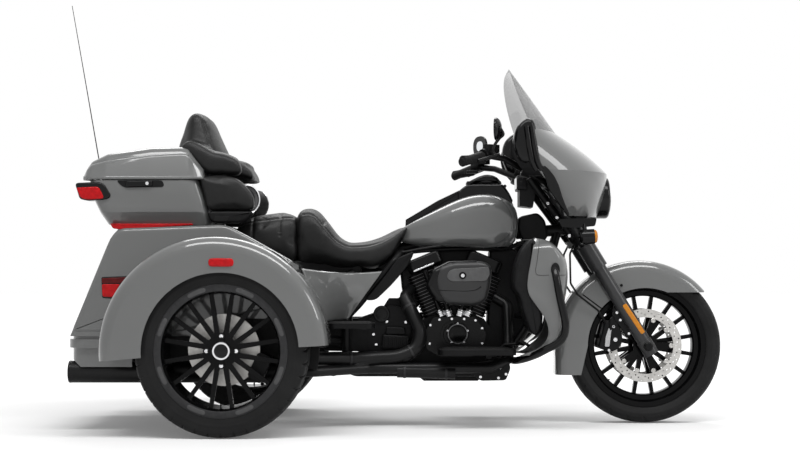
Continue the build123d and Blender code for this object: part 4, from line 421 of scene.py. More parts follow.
def dark_inside(mat, middle, radius, dark):
    """Turns a finish black inside a radius of the wheel's axle: the length of the place's x and z from
    the middle is set against the radius, and the step mixes the colour."""
    tree = mat.node_tree
    shader = tree.nodes["Principled BSDF"]
    place = tree.nodes.new("ShaderNodeTexCoord")
    apart = tree.nodes.new("ShaderNodeVectorMath")
    apart.operation = "SUBTRACT"
    apart.inputs[1].default_value = (middle[0], 0.0, middle[2])
    tree.links.new(place.outputs["Object"], apart.inputs[0])
    flat = tree.nodes.new("ShaderNodeVectorMath")
    flat.operation = "MULTIPLY"
    flat.inputs[1].default_value = (1.0, 0.0, 1.0)
    tree.links.new(apart.outputs[0], flat.inputs[0])
    far = tree.nodes.new("ShaderNodeVectorMath")
    far.operation = "LENGTH"
    tree.links.new(flat.outputs[0], far.inputs[0])
    step = tree.nodes.new("ShaderNodeMapRange")
    step.inputs["From Min"].default_value = radius - 0.001
    step.inputs["From Max"].default_value = radius + 0.001
    tree.links.new(far.outputs["Value"], step.inputs["Value"])
    mix = tree.nodes.new("ShaderNodeMix")
    mix.data_type = "RGBA"
    mix.inputs["A"].default_value = (*dark, 1.0)
    ramp = next(n for n in tree.nodes if n.type == "VALTORGB")
    tree.links.new(ramp.outputs["Color"], mix.inputs["B"])
    tree.links.new(step.outputs["Result"], mix.inputs["Factor"])
    tree.links.new(mix.outputs["Result"], shader.inputs["Base Color"])


CARRIER_RADIUS, CARRIER_BLACK = 0.113, (0.008, 0.008, 0.008)
dark_inside(disc_and_carrier, FRONT_HUB, CARRIER_RADIUS, CARRIER_BLACK)
wear(disc_and_carrier, "front_discs")
BOBBIN = [
    (-0.006, 0.0), (-0.006, 0.0095), (0.0015, 0.0095), (0.0022, 0.0085), (0.0022, 0.0055),
    (0.0008, 0.0048), (0.0008, 0.0)
]
bobbins = [turned(BOBBIN, spot, (0, out, 0), 20) for out in (-1, 1)
           for spot in ring_places((FRONT_HUB[0], out * 0.0702, FRONT_HUB[2]), 0.1075, 10)]
skin("disc_bobbins", bobbins, ground_steel, "front_wheel_body")


def plate(corners, low, high, soft=0.01, edge=0.002, across=1, crown=0.0):
    """Flat plate or pad between two levels. The corners are rounded by quadratic arcs that start soft
    away from them; towards each face the outline draws in by a quarter round of the edge size, and each
    face may rise to a crown in its middle, on which it closes."""
    corners = np.asarray(corners, float)
    before, after = np.roll(corners, 1, 0) - corners, np.roll(corners, -1, 0) - corners
    a = corners + before * np.minimum(soft / np.linalg.norm(before, axis=1, keepdims=True), 0.5)
    c = corners + after * np.minimum(soft / np.linalg.norm(after, axis=1, keepdims=True), 0.5)
    t = np.linspace(0, 1, 7)[None, :, None]
    rim = (
        (1 - t) ** 2 * a[:, None] + 2 * t * (1 - t) * corners[:, None] + t**2 * c[:, None]
    ).reshape(-1, 2)
    rim = rim[np.linalg.norm(rim - np.roll(rim, 1, 0), axis=1) > 1e-6]
    run = np.roll(rim, -1, 0) - np.roll(rim, 1, 0)
    run /= np.linalg.norm(run, axis=1, keepdims=True)
    area = np.sum(rim[:, 0] * np.roll(rim[:, 1], -1) - rim[:, 1] * np.roll(rim[:, 0], -1))
    inward = np.sign(area) * np.stack([-run[:, 1], run[:, 0]], axis=-1)
    swing = np.linspace(0, np.pi / 2, 5)
    inset, lift = edge * (1 - np.sin(swing)), edge * (1 - np.cos(swing))
    rows = rim[None] + np.concatenate([inset, inset[::-1]])[:, None, None] * inward[None]
    levels = np.concatenate([low + lift, (high - lift)[::-1]])
    share = np.array([0.0, 0.35, 0.6, 0.8, 0.93, 0.985])
    outer, middle = share[:, None, None], rows[:1].mean(axis=1, keepdims=True)
    face = middle * (1 - outer) + rows[:1] * outer
    rise = crown * (1 - share**2)
    rows = np.concatenate([face, rows, face[::-1]])
    levels = np.concatenate([low - rise, levels, (high + rise)[::-1]])
    return np.insert(rows, across, levels[:, None] * np.ones(rows.shape[1]), axis=2)


def pair(*grids):
    """The grids and their mirror images on the trike's other side."""
    return [g * flip for g in grids for flip in (np.array([1.0, 1.0, 1.0]), np.array([1.0, -1.0, 1.0]))]


silver_plate = finish(
    "silver_plate", (0.36, 0.36, 0.365), (0.44, 0.44, 0.445), 120.0, 0.42, metal=0.5, bump=0.1
)
CALIPER, ALONG, OUTWARD = np.array([0.908, 0.359]), np.array([0.26, 0.966]), np.array([-0.966, 0.26])


def block(low, high, near, far, ends, edge):
    """Caliper block beside a disc: a plate between two levels, from a near to a far distance outward of
    the caliper's middle and between two ends along it."""
    corners = ((near, -ends), (far, -ends), (far, ends), (near, ends))
    outline = [CALIPER + OUTWARD * r + ALONG * t for r, t in corners]
    return plate(outline, low, high, 0.020, edge)


ear = plate(
    [(0.906, 0.379), (0.906, 0.429), (0.960, 0.469), (0.990, 0.439)], -0.108, -0.086, 0.010, 0.003
)
halves = pair(
    block(-0.100, -0.0745, -0.035, 0.035, 0.061, 0.008),
    block(-0.0575, -0.038, -0.035, 0.035, 0.061, 0.006),
    block(-0.080, -0.052, 0.008, 0.034, 0.052, 0.003), ear
)
bodies = skin("caliper_bodies", halves, satin_black, "fork")
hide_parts("front_calipers")
cover = [(0.886, 0.316), (0.905, 0.316), (0.912, 0.372), (0.916, 0.390), (0.902, 0.391), (0.890, 0.356)]
skin(
    "caliper_plates", pair(plate(cover, -0.1055, -0.100, 0.006, 0.001)), silver_plate, "fork",
)
lobe = [
    (0.897, 0.304), (0.925, 0.296), (0.953, 0.318), (0.960, 0.352), (0.948, 0.400), (0.926, 0.414),
    (0.914, 0.392), (0.912, 0.340)
]
skin("caliper_lobes", pair(plate(lobe, -0.104, -0.098, 0.016, 0.003)), satin_black, "fork")
CALIPER_FACE = -0.1035
big = screws([(0.929, CALIPER_FACE, 0.345)], (0, -1, 0), 0.0095)
small = screws([(0.922, CALIPER_FACE, 0.398), (0.903, CALIPER_FACE, 0.302)], (0, -1, 0), 0.0062)
skin("caliper_screws", pair(*big, *small), bright, "fork")

# Fork: two legs with dark grey cast sliders and black upper covers, clamped in two yokes. Amber reflector
# strips are glued to the sliders, screws hold the fender and caliper brackets, and a nut closes each end
# of the axle.
slider_grey = finish(
    "slider_grey", (0.021, 0.021, 0.022), (0.027, 0.027, 0.028), 9.0, 0.30, coat=0.1, gleam=0.25
)
amber = finish(
    "amber_reflector", (0.46, 0.155, 0.003), (0.55, 0.20, 0.005), 90.0, 0.22, coat=0.1, bump=0.15,
    bump_grain=500.0, gleam=0.3
)
wear(slider_grey, "fork_legs")


def on_side(node, across, up, axis=1, side=-1):
    """Outermost level of a CAD piece at each point of a flat picture: every triangle that holds the
    point, by its area coordinates, gives a level there, and the furthest out on the chosen side is
    kept."""
    data = nodes[node].data
    data.calc_loop_triangles()
    corners = np.empty(len(data.loop_triangles) * 3, dtype=np.int32)
    data.loop_triangles.foreach_get("vertices", corners)
    spots = np.empty(len(data.vertices) * 3)
    data.vertices.foreach_get("co", spots)
    a, b, c = spots.reshape(-1, 3)[corners.reshape(-1, 3)].transpose(1, 0, 2)
    keep = [i for i in range(3) if i != axis]
    ab, ac = (b - a)[:, keep], (c - a)[:, keep]
    whole = ab[:, 0] * ac[:, 1] - ab[:, 1] * ac[:, 0]
    solid = np.abs(whole) > 1e-12
    a, b, c, ab, ac, whole = a[solid], b[solid], c[solid], ab[solid], ac[solid], whole[solid]
    ap = np.stack([np.ravel(across), np.ravel(up)], axis=-1)[:, None] - a[None][:, :, keep]
    u = (ap[..., 0] * ac[:, 1] - ap[..., 1] * ac[:, 0]) / whole
    v = (ab[:, 0] * ap[..., 1] - ab[:, 1] * ap[..., 0]) / whole
    held = (u >= -1e-6) & (v >= -1e-6) & (u + v <= 1 + 1e-6)
    level = side * (a[:, axis] + u * (b - a)[:, axis] + v * (c - a)[:, axis])
    best = np.where(held, level, -np.inf).max(axis=1)
    if not np.isfinite(best).any():
        raise ValueError(f"{node} has no face at {across}, {up}")
    best = np.where(np.isfinite(best), best, best[np.isfinite(best)].min())
    return side * best.reshape(np.shape(across))


def level_at(node, across, up, axis=1, side=-1):
    """The same level at one point, as a number."""
    return float(on_side(node, np.array(across), np.array(up), axis, side))


def through(knots, values, at):
    """Smooth curve through values at rising knots: cubic pieces whose slope at each knot is that of its
    neighbours."""
    knots, values, at = np.asarray(knots, float), np.asarray(values, float), np.asarray(at, float)
    slope = np.gradient(values, knots, axis=0)
    i = np.clip(np.searchsorted(knots, at) - 1, 0, len(knots) - 2)
    span, t = knots[i + 1] - knots[i], (at - knots[i]) / (knots[i + 1] - knots[i])
    if values.ndim > 1:
        span, t = span[:, None], t[:, None]
    return ((2 * t**3 - 3 * t**2 + 1) * values[i] + (t**3 - 2 * t**2 + t) * span * slope[i]
            + (3 * t**2 - 2 * t**3) * values[i + 1] + (t**3 - t**2) * span * slope[i + 1])


def bend(points, count):
    """Smooth path through points, evenly spaced by the length of the runs between them."""
    points = np.asarray(points, float)
    run = np.concatenate([[0.0], np.cumsum(np.linalg.norm(np.diff(points, axis=0), axis=1))])
    return through(run, points, np.linspace(0, run[-1], count))


def tube(path, radius, sides=14):
    """Round section carried along a path. Each ring stands square to the path's run, starts from the
    normal of the flattest plane through the path, and has the radius for its place; both ends close on
    the path."""
    path = np.asarray(path, float)
    run = np.gradient(path, axis=0)
    run /= np.linalg.norm(run, axis=1, keepdims=True)
    flat = np.linalg.svd(path - path.mean(axis=0))[2][2]
    out = flat - (run @ flat)[:, None] * run
    out /= np.linalg.norm(out, axis=1, keepdims=True)
    side = np.cross(run, out)
    turn = np.linspace(0, 2 * np.pi, sides, endpoint=False)[None, :, None]
    ring = np.cos(turn) * out[:, None] + np.sin(turn) * side[:, None]
    grid = path[:, None] + np.reshape(radius * np.ones(len(path)), (-1, 1, 1)) * ring
    ends = path[[0, -1]][:, None] + np.zeros((2, sides, 3))
    return np.concatenate([ends[:1], grid, ends[1:]])


share = np.array(
    [0.0, 0.001, 0.006, 0.025, 0.06] + list(np.linspace(0.12, 0.88, 10))
    + [0.94, 0.975, 0.994, 0.999, 1.0]
)
strip_x, strip_z = 0.9600 + 0.0770 * share, 0.4890 - 0.1170 * share
strip = np.stack([strip_x, on_side("fork_legs", strip_x, strip_z) + 0.002, strip_z], axis=-1)
cross, turn = np.array([0.84, 0.0, 0.54]), np.linspace(0, 2 * np.pi, 28, endpoint=False)[None, :, None]
fade = np.array([0.0, 0.55, 0.8, 0.95] + [1.0] * 12 + [0.95, 0.8, 0.55, 0.0])[:, None, None]
half_wide, half_thick, square = 0.0098, 0.0060, 4
wide_part = half_wide * squared(np.cos(turn), square) * cross
thick_part = half_thick * squared(np.sin(turn), square) * (0.0, 1.0, 0.0)
oval = strip[:, None] + fade * (wide_part + thick_part)
skin("fork_reflectors", pair(oval), amber, "fork")
bracket = [(0.917, 0.478), (0.946, 0.470), (0.992, 0.372), (0.975, 0.352), (0.948, 0.398), (0.922, 0.432)]
skin(
    "caliper_brackets", pair(plate(bracket, -0.1135, -0.098, 0.010, 0.002)), satin_black, "fork",
)
spots = [(x, -0.1135, z) for x, z in ((0.934, 0.455), (0.948, 0.425), (0.983, 0.370))]
skin("fork_screws", pair(*screws(spots, (0, -1, 0), 0.0062)), bright, "fork")
nut = [
    (-0.004, 0.0), (-0.004, 0.019), (0.004, 0.019), (0.006, 0.016), (0.013, 0.0155), (0.015, 0.013),
    (0.015, 0.0)
]
AXLE_END, HEXAGON, ROUND = 0.150, 6, 28
ends = [turned(nut, (FRONT_HUB[0], flip * AXLE_END, FRONT_HUB[2]), (0, flip, 0), sides)
        for flip, sides in ((1, HEXAGON), (-1, ROUND))]
skin("axle_nuts", ends, satin_black, "fork")

# Front fender: pressed steel with a rolled lower edge, bolted to the sliders. Its bracket screws show on
# each side, and a brake line is clipped to the flank.


def flank_screws(node, spots, radius):
    """Cap screws on the right flank of a CAD piece and on its mirror image."""
    heads = [(x, level_at(node, x, z) - 0.0005, z) for x, z in spots]
    return pair(*screws(heads, (0, -1, 0), radius))


fender_heads = flank_screws("front_fender", ((0.905, 0.548), (0.958, 0.566)), 0.0058)
skin("fender_screws", fender_heads, satin_black, "fork")
hose_x, hose_z = np.linspace(0.800, 0.878, 16), np.linspace(0.528, 0.470, 16)
hose = np.stack([hose_x, on_side("front_fender", hose_x, hose_z) - 0.001, hose_z], axis=-1)
skin("fender_lines", pair(tube(hose, 0.0026, 8)), satin_black, "fork")

# Fairing: a painted moulded shell with a black inner half screwed to it. A black rubber bead covers the
# joint, the inner half carries round gauges, a flat screen and two speakers, and stays hold it to the
# upper yoke.
moulded_black = finish(
    "moulded_black", (0.0036, 0.0036, 0.0039), (0.0065, 0.0065, 0.0068), 60.0, 0.46, bump=0.3,
    bump_grain=1400.0, gleam=0.14
)
wear(moulded_black, "fairing_inner")
screen_glass = finish(
    "screen_glass", (0.004, 0.005, 0.006), (0.006, 0.007, 0.009), 3.0, 0.08, coat=0.6, gleam=0.5
)
dial_face = finish("dial_face", (0.010, 0.010, 0.011), (0.016, 0.016, 0.017), 40.0, 0.5, gleam=0.2)
dial_white = finish("dial_white", (0.55, 0.55, 0.54), (0.62, 0.62, 0.61), 60.0, 0.5)


def rear_face(y, z):
    """Level of the dash's rear face, towards the rider."""
    return on_side("fairing_inner", y, z, axis=0, side=-1)


TILT = np.array([-0.94, 0.0, 0.34])
side = np.cross(TILT, (0.0, 0.0, 1.0))
up = np.cross(side, TILT)
side, up = side / np.linalg.norm(side), up / np.linalg.norm(up)
for label, y, z, size in (("speed", 0.068, 1.075, 0.050), ("engine_speed", -0.068, 1.075, 0.050),
                          ("fuel", 0.170, 1.085, 0.030), ("charge", -0.170, 1.085, 0.030)):
    mid = np.array([float(rear_face(np.array(y), np.array(z))) - 0.004, y, z])
    bowl = [
        (-0.03, 0.0), (-0.03, size), (0.012, size), (0.016, size - 0.003), (0.016, size - 0.006),
        (0.008, size - 0.008), (0.008, 0.0)
    ]
    skin(label + "_gauge", [turned(bowl, mid, TILT, 48)], gloss_black, "fork")
    rim = [
        (0.013, size + 0.001), (0.017, size - 0.001), (0.0175, size - 0.004), (0.015, size - 0.006),
        (0.011, size - 0.004)
    ]
    skin(
        label + "_gauge_rim", [turned(rim, mid, TILT, 48)], bright, "fork",
        wraps=(True, True)
    )
    dial = [(0.0084, 0.0), (0.0090, size - 0.010), (0.0080, size - 0.0095)]
    skin(label + "_dial", [turned(dial, mid, TILT, 48)], dial_face, "fork")
    marks = []
    tick_run = np.linspace(size - 0.018, size - 0.012, 3)
    needle_run, needle_turn = np.linspace(-0.008, size - 0.016, 8), -2.1
    for swing in np.radians(np.linspace(-130, 130, 14)):
        way = np.sin(swing) * side + np.cos(swing) * up
        marks.append(tube(mid + TILT * 0.0095 + np.outer(tick_run, way), 0.0007, 6))
    way = np.sin(needle_turn) * side + np.cos(needle_turn) * up
    marks.append(tube(mid + TILT * 0.0105 + np.outer(needle_run, way), np.linspace(0.0014, 0.0006, 8), 8))
    skin(label + "_marks", marks, dial_white, "fork")
screen_y, screen_z = np.linspace(-0.083, 0.083, 30)[:, None], np.linspace(0.945, 1.010, 16)[None, :]
frame_x = rear_face(screen_y + 0 * screen_z, screen_z + 0 * screen_y).min()
frame_line = [(-0.072, 0.956), (0.072, 0.956), (0.068, 1.018), (-0.068, 1.018)]
glass_line = [(-0.061, 0.965), (0.061, 0.965), (0.057, 1.010), (-0.057, 1.010)]
skin(
    "dash_screen_frame", [plate(frame_line, frame_x - 0.010, frame_x + 0.03, 0.014, 0.004, across=0)],
    moulded_black, "fork"
)
skin(
    "dash_screen", [plate(glass_line, frame_x - 0.0125, frame_x - 0.006, 0.006, 0.001, across=0)],
    screen_glass, "fork"
)
CONE = [
    (0.003, 0.0), (0.006, 0.030), (0.009, 0.052), (0.012, 0.058), (0.010, 0.062), (0.002, 0.064),
    (-0.02, 0.064), (-0.02, 0.0)
]
GRILLE_RADIUS = 0.055
for label, flip in SIDES.items():
    mid = np.array([float(rear_face(np.array(flip * 0.268), np.array(1.060))), flip * 0.268, 1.060])
    skin(label + "_dash_speaker", [turned(CONE, mid, TILT, 56)], satin_black, "fork")
    bars = []
    for rise in np.linspace(-0.048, 0.048, 13):
        half = np.sqrt(GRILLE_RADIUS**2 - rise**2)
        bar = np.outer(np.linspace(-half, half, 9), (0.0, 1.0, 0.0)) + rise * np.array([0.34, 0.0, 0.94])
        bars.append(tube(mid + TILT * 0.0105 + bar, 0.0016, 8))
    skin(label + "_dash_speaker_bars", bars, gloss_black, "fork")
edge_line = bend(
    [
        (0.569, -0.3935, 1.186), (0.580, -0.3955, 1.140), (0.590, -0.3965, 1.079), (0.602, -0.390, 1.026),
        (0.640, -0.372, 0.997), (0.674, -0.330, 0.924), (0.706, -0.262, 0.852)
    ],
    60
)
edge_line[:, 1] = on_side("fairing_outer", edge_line[:, 0] + 0.004, edge_line[:, 2]) + 0.001
skin("fairing_beads", pair(tube(edge_line, 0.0050, 10)), moulded_black, "fork")
wing = plate(
    [
        (0.612, 1.037), (0.6285, 1.0276), (0.658, 0.9948), (0.6777, 0.9587), (0.694, 0.916),
        (0.7104, 0.880), (0.7268, 0.8505), (0.7203, 0.839), (0.704, 0.860), (0.671, 0.8997),
        (0.638, 0.942), (0.622, 0.988), (0.602, 1.024)
    ],
    -0.020, 0.0, 0.012, 0.004
)
wing[..., 1] += -0.372 + 0.62 * (1.037 - wing[..., 2])
skin("fairing_wings", pair(wing), gloss_black, "fork")
roll = bend(
    [
        (0.566, -0.386, 1.190), (0.573, -0.389, 1.140), (0.582, -0.389, 1.085), (0.594, -0.385, 1.040),
        (0.606, -0.378, 1.020)
    ],
    50
)
skin(
    "fairing_rolls", pair(tube(roll, 0.0105, 16), tube(roll + (-0.020, 0.004, 0.0), 0.0115, 16)),
    gloss_black, "fork"
)
hood = plate(
    [
        (0.503, 1.182), (0.528, 1.2125), (0.5536, 1.226), (0.5800, 1.214), (0.5900, 1.1575),
        (0.5800, 1.047), (0.5200, 1.047), (0.494, 1.1175)
    ],
    -0.380, -0.290, 0.030, 0.020, crown=0.004
)
skin("dash_hoods", pair(hood), gloss_black, "fork")
stay_heads = flank_screws("fork_yokes", ((0.653, 0.900), (0.690, 0.842), (0.741, 0.768)), 0.0075)
skin("stay_screws", stay_heads, bright, "fork")

# Windshield: a curved sheet of smoke tinted acrylic, bent in one direction and clamped between the
# fairing halves by three screws under a trim strip.


def let_through(mat, bending):
    """Makes a finish clear, with an index of how much it bends light."""
    shader = mat.node_tree.nodes["Principled BSDF"]
    shader.inputs["Transmission Weight"].default_value = 1.0
    shader.inputs["IOR"].default_value = bending


smoke = finish("smoke_acrylic", (0.42, 0.42, 0.42), (0.45, 0.45, 0.45), 2.0, 0.05, spread=0.01, gleam=0.5)
let_through(smoke, 1.15)
wear(smoke, "windshield")

# Headlamp: a black can set in the nose of the fairing, with a bright ring, a clear bowed lens and inside
# it a bright bowl with two stacked beam units.
clear_lens = finish("clear_lens", (0.90, 0.90, 0.90), (0.94, 0.94, 0.94), 3.0, 0.03, spread=0.01)
let_through(clear_lens, 1.3)
lamp_mid = np.array([0.905, 0.0, 0.924])
NOSE = (1.0, 0.0, 0.03)
can = [
    (-0.03, 0.0), (-0.03, 0.060), (0.0, 0.061), (0.010, 0.060), (0.014, 0.056), (0.012, 0.052),
    (-0.004, 0.046), (-0.020, 0.020), (-0.022, 0.0)
]
skin("headlamp_can", [turned(can, lamp_mid, NOSE, 64)], gloss_black, "fork")
rim = [
    (-0.006, 0.0625), (-0.003, 0.0640), (0.001, 0.0640), (0.004, 0.0625), (0.003, 0.0605),
    (-0.005, 0.0605)
]
skin("headlamp_ring", [turned(rim, lamp_mid, NOSE, 64)], bright, "fork", wraps=(True, True))
bowl = [
    (-0.018, 0.0), (-0.016, 0.012), (-0.008, 0.019), (-0.002, 0.021), (-0.003, 0.023), (-0.020, 0.021),
    (-0.022, 0.0)
]
beams = [turned(bowl, lamp_mid + (0.006, 0.0, rise), NOSE, 36) for rise in (0.022, -0.020)]
skin("headlamp_bowls", beams, bright, "fork")
dome = [(0.006, 0.055), (0.012, 0.052), (0.018, 0.038), (0.021, 0.020), (0.022, 0.0)]
inner_dome = [(place - 0.003, radius) for place, radius in dome[::-1]]
skin("headlamp_lens", [turned(dome + inner_dome, lamp_mid, NOSE, 56)], clear_lens, "fork")

# Turn signals: black bullet housings on a cast bar across the fork, each closed in front by a black rim
# and a moulded amber lens that is pressed into it.
SIGNAL_WAY = (1.0, 0.0, 0.04)
SIGNAL_DOME = [
    (0.0, 0.0), (0.0, 0.0265), (0.006, 0.0265), (0.011, 0.0245), (0.0155, 0.017), (0.017, 0.008),
    (0.0172, 0.0)
]
SIGNAL_RIM = [(-0.004, 0.0275), (-0.002, 0.0290), (0.002, 0.0290), (0.003, 0.0275), (-0.004, 0.0265)]
for label, flip in SIDES.items():
    mid = (0.829, flip * 0.209, 0.763)
    skin(label + "_signal_lens", [turned(SIGNAL_DOME, mid, SIGNAL_WAY, 36)], amber, "fork")
    skin(
        label + "_signal_rim", [turned(SIGNAL_RIM, mid, SIGNAL_WAY, 36)], gloss_black, "fork",
        wraps=(True, True)
    )

# Handlebar, grips and controls: a bent steel tube in black, ribbed rubber grips, cast switch housings
# with rocker buttons, and a lever in front of each. The mirrors are black bowls with flat silvered glass.
grip_rubber = finish(
    "grip_rubber", (0.005, 0.005, 0.005), (0.009, 0.009, 0.009), 30.0, 0.6, bump=0.3, bump_grain=900.0,
    gleam=0.15
)
wear(grip_rubber, "grips", "drive_belt", "brake_lines")
silvered = finish(
    "silvered_glass", (0.80, 0.82, 0.84), (0.84, 0.86, 0.88), 4.0, 0.03, metal=1.0, spread=0.01
)
shells, faces, arms = [], [], []
MIRROR_WIDE, MIRROR_TALL, MIRROR_SQUARE = 0.058, 0.044, 2.5
LOOKS = {"right": (-0.98, 0.20, 0.0), "left": (-0.90, -0.43, 0.06)}
tall = np.array([0.0, 0.0, 1.0])
for label, flip in SIDES.items():
    grip_path = np.linspace((0.293, flip * 0.4400, 1.052), (0.373, flip * 0.352, 1.062), 60)
    swell = 0.0172 + 0.0016 * np.clip(np.sin(np.linspace(0, 24 * np.pi, 60)) * 2, -1, 1)
    skin(label + "_grip_ribs", [tube(grip_path, swell, 24)], grip_rubber, "fork")
    look = np.array(LOOKS[label]) / np.linalg.norm(LOOKS[label])
    mid, wide = np.array([0.417 - 0.011 * flip, flip * 0.398, 1.177]), np.cross(look, tall)
    turn = np.linspace(0, 2 * np.pi, 48, endpoint=False)[None, :, None]
    out = np.linspace(0, 1, 14)[:, None, None]
    rim = (MIRROR_WIDE * squared(np.cos(turn), MIRROR_SQUARE) * wide
           + MIRROR_TALL * squared(np.sin(turn), MIRROR_SQUARE) * tall)
    bowl = mid + np.sin(out * np.pi / 2) * rim - look * 0.020 * np.cos(out * np.pi / 2)
    lip = [mid + share * rim + look * lift for share, lift in ((1.0, 0.004), (0.93, 0.004), (0.0, 0.001))]
    shells.append(np.concatenate([bowl, *lip]))
    glass = ((0.0, 0.0025), (0.6, 0.0026), (0.93, 0.0028), (0.94, 0.001))
    faces.append(np.concatenate([mid + share * rim + look * lift for share, lift in glass]))
    foot = np.array([0.418, flip * 0.372, 1.105])
    neck = [
        mid - look * 0.017, mid - look * 0.026 - tall * 0.020, (foot + mid) / 2 - look * 0.016, foot,
        foot - tall * 0.030
    ]
    arms.append(tube(bend(neck, 40), 0.0062, 14))
    buttons = []
    for inner, near in ((0.325, 0.343), (0.306, 0.353)):
        face = [
            (flip * inner, 1.052), (flip * (inner + 0.013), 1.052), (flip * (inner + 0.013), 1.066),
            (flip * inner, 1.066)
        ]
        buttons.append(plate(face, near, 0.392, 0.004, 0.0015, across=0))
    skin(label + "_switch_buttons", buttons, moulded_black, "fork")
mirror_shells = skin("mirror_shells", shells + arms, gloss_black, "fork")
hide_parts("mirrors")
skin("mirror_glass", faces, silvered, "fork")

# Frame: welded steel tube and forgings in satin black. A pressed cover hides each seat strut, and a
# stamped bracket with bright screws carries the footboard and the exhaust under the engine.
strut = [
    (0.112, 0.706), (0.040, 0.676), (0.000, 0.616), (-0.092, 0.506), (-0.047, 0.506), (0.016, 0.567),
    (0.084, 0.644)
]
strut_cover = plate(strut, -0.182, -0.168, 0.02, 0.005)
skin("strut_covers", pair(strut_cover), satin_black, "chassis")
low_plate = plate(
    [
        (0.356, 0.262), (0.482, 0.276), (0.496, 0.236), (0.476, 0.186), (0.374, 0.184), (0.352, 0.204),
        (0.322, 0.218), (0.282, 0.242)
    ],
    -0.205, -0.192, 0.012, 0.003
)
skin("low_brackets", pair(low_plate), satin_black, "chassis")
low_spots = (
    (0.384, 0.236), (0.452, 0.236), (0.476, 0.211), (0.446, 0.196), (0.374, 0.200), (0.462, 0.252)
)
low_heads = screws([(x, -0.205, z) for x, z in low_spots], (0, -1, 0), 0.0062)
skin("low_bracket_screws", pair(*low_heads), bright, "chassis")

# Engine: an air-cooled vee twin. Black finned barrels carry thin grey metal lines along every fin edge,
# which are painted highlights. The black rocker covers have a bright lower strip, and the pushrod tubes
# stand in bright feet on the cam cover. A round timer cover closes the cam chest.
case_black = finish(
    "case_black", (0.0022, 0.0022, 0.0024), (0.0044, 0.0044, 0.0047), 30.0, 0.44, bump=0.15,
    bump_grain=1100.0, gleam=0.11
)
wear(case_black, "crankcase", "gearbox", "cylinders", "swingarm", "rear_axle_housing")
cover_black = finish(
    "cover_black", (0.0026, 0.0026, 0.0028), (0.0048, 0.0048, 0.0050), 8.0, 0.26, gleam=0.15
)
wear(cover_black, "cam_cover", "rocker_covers", "primary_cover", "pushrod_tubes")
# fin_edge is a grey metal. Along the fins it paints highlights; on the timer cover it is the ring's own
# grey.
fin_edge = finish("fin_edge", (0.12, 0.12, 0.122), (0.20, 0.20, 0.202), 90.0, 0.36, metal=0.8)
CRANK = np.array([0.273, 0.0, 0.367])
ACROSS = np.array([0.0, 1.0, 0.0])
FIN_COUNT, FIRST_FIN, FIN_STEP, FIN_HALF_X, FIN_HALF_Y, FIN_ROUND = 13, 0.1165, 0.0135, 0.091, 0.095, 0.026
STRIP = plate(
    [(-0.056, -0.0030), (0.034, -0.0030), (0.034, 0.0035), (-0.056, 0.0035)], -0.003, 0.003, 0.003, 0.001
)
CORE = plate(
    [(-0.086, -0.089), (0.086, -0.089), (0.086, 0.089), (-0.086, 0.089)], 0.1065, 0.286, 0.026, 0.002,
    across=2
)
COLLAR = [
    (0.0, 0.0), (0.0, 0.0185), (0.005, 0.0185), (0.007, 0.0165), (0.012, 0.0165), (0.0135, 0.019),
    (0.020, 0.019), (0.022, 0.0165), (0.027, 0.0160), (0.028, 0.0125), (0.028, 0.0)
]
PUSHROD_Y = -0.1125


def tilted(grid, middle, along, up):
    """Grid carried into a leaning frame: its x runs along, its y across the trike and its z up from the
    middle."""
    return middle + grid[..., :1] * along + grid[..., 1:2] * ACROSS + grid[..., 2:] * up


edges, strips, feet, jackets = [], [], [], []
for lean in (-1, 1):
    tip = np.radians(22.5 * lean)
    up, along = np.array([np.sin(tip), 0.0, np.cos(tip)]), np.array([np.cos(tip), 0.0, -np.sin(tip)])
    straight, round_edge = np.linspace(-0.066, 0.066, 12), np.radians(np.linspace(0, 90, 8))
    for fin in range(FIN_COUNT):
        level = CRANK + up * (FIRST_FIN + FIN_STEP * fin)
        for flip in (-1, 1):
            edges.append(
                tube(level + np.outer(straight, along) + flip * (FIN_HALF_Y + 0.0001) * ACROSS, 0.0008, 6)
            )
            for end in (-1, 1):
                end_run, side_run = end * (FIN_HALF_X - FIN_ROUND), flip * (FIN_HALF_Y - FIN_ROUND)
                corner = level + along * end_run + side_run * ACROSS
                arc = np.outer(np.sin(round_edge), along * end) + np.outer(
                    np.cos(round_edge), flip * ACROSS
                )
                edges.append(tube(corner + (FIN_ROUND + 0.0002) * arc, 0.0008, 6))
    jackets.append(tilted(CORE, CRANK, along, up))
    strips += [tilted(STRIP, CRANK + up * 0.2995 + y * ACROSS, along, up) for y in (-0.124, 0.092)]
    for foot, head in ((0.020, -0.032), (0.052, 0.012)):
        start = np.array([CRANK[0] + lean * foot, PUSHROD_Y, 0.441])
        stop = CRANK + up * 0.286 + along * lean * head + PUSHROD_Y * ACROSS
        feet.append(turned(COLLAR, start, stop - start, 28))
skin("barrel_jackets", jackets, case_black, "chassis")
# Painted highlights: thin grey metal lines round the edges of every fin.
skin("fin_edge_highlights", edges, fin_edge, "chassis")
skin("rocker_strips", strips, bright, "chassis")
skin("pushrod_feet", feet, bright, "chassis")
CAM_X, CAM_Z, CAM_CIRCLE = 0.285, 0.370, 0.0425
cam_y = level_at("cam_cover", CAM_X, CAM_Z)
timer = (CAM_X, cam_y, CAM_Z)
dome = [
    (-0.006, 0.0), (-0.006, 0.046), (0.003, 0.046), (0.006, 0.044), (0.006, 0.041), (0.003, 0.039),
    (0.005, 0.033), (0.010, 0.020), (0.0115, 0.0)
]
skin("timer_cover", [turned(dome, timer, (0, -1, 0), 56)], cover_black, "chassis")
band = [(0.0035, 0.0405), (0.0070, 0.0400), (0.0075, 0.0375), (0.0055, 0.0355), (0.0020, 0.0360)]
skin(
    "timer_ring", [turned(band, timer, (0, -1, 0), 56)], fin_edge, "chassis",
    wraps=(True, True)
)
cam_spots = [
    (CAM_X + CAM_CIRCLE * np.cos(t), cam_y - 0.004, CAM_Z + CAM_CIRCLE * np.sin(t))
    for t in np.radians((18, 90, 162, 234, 306))
]
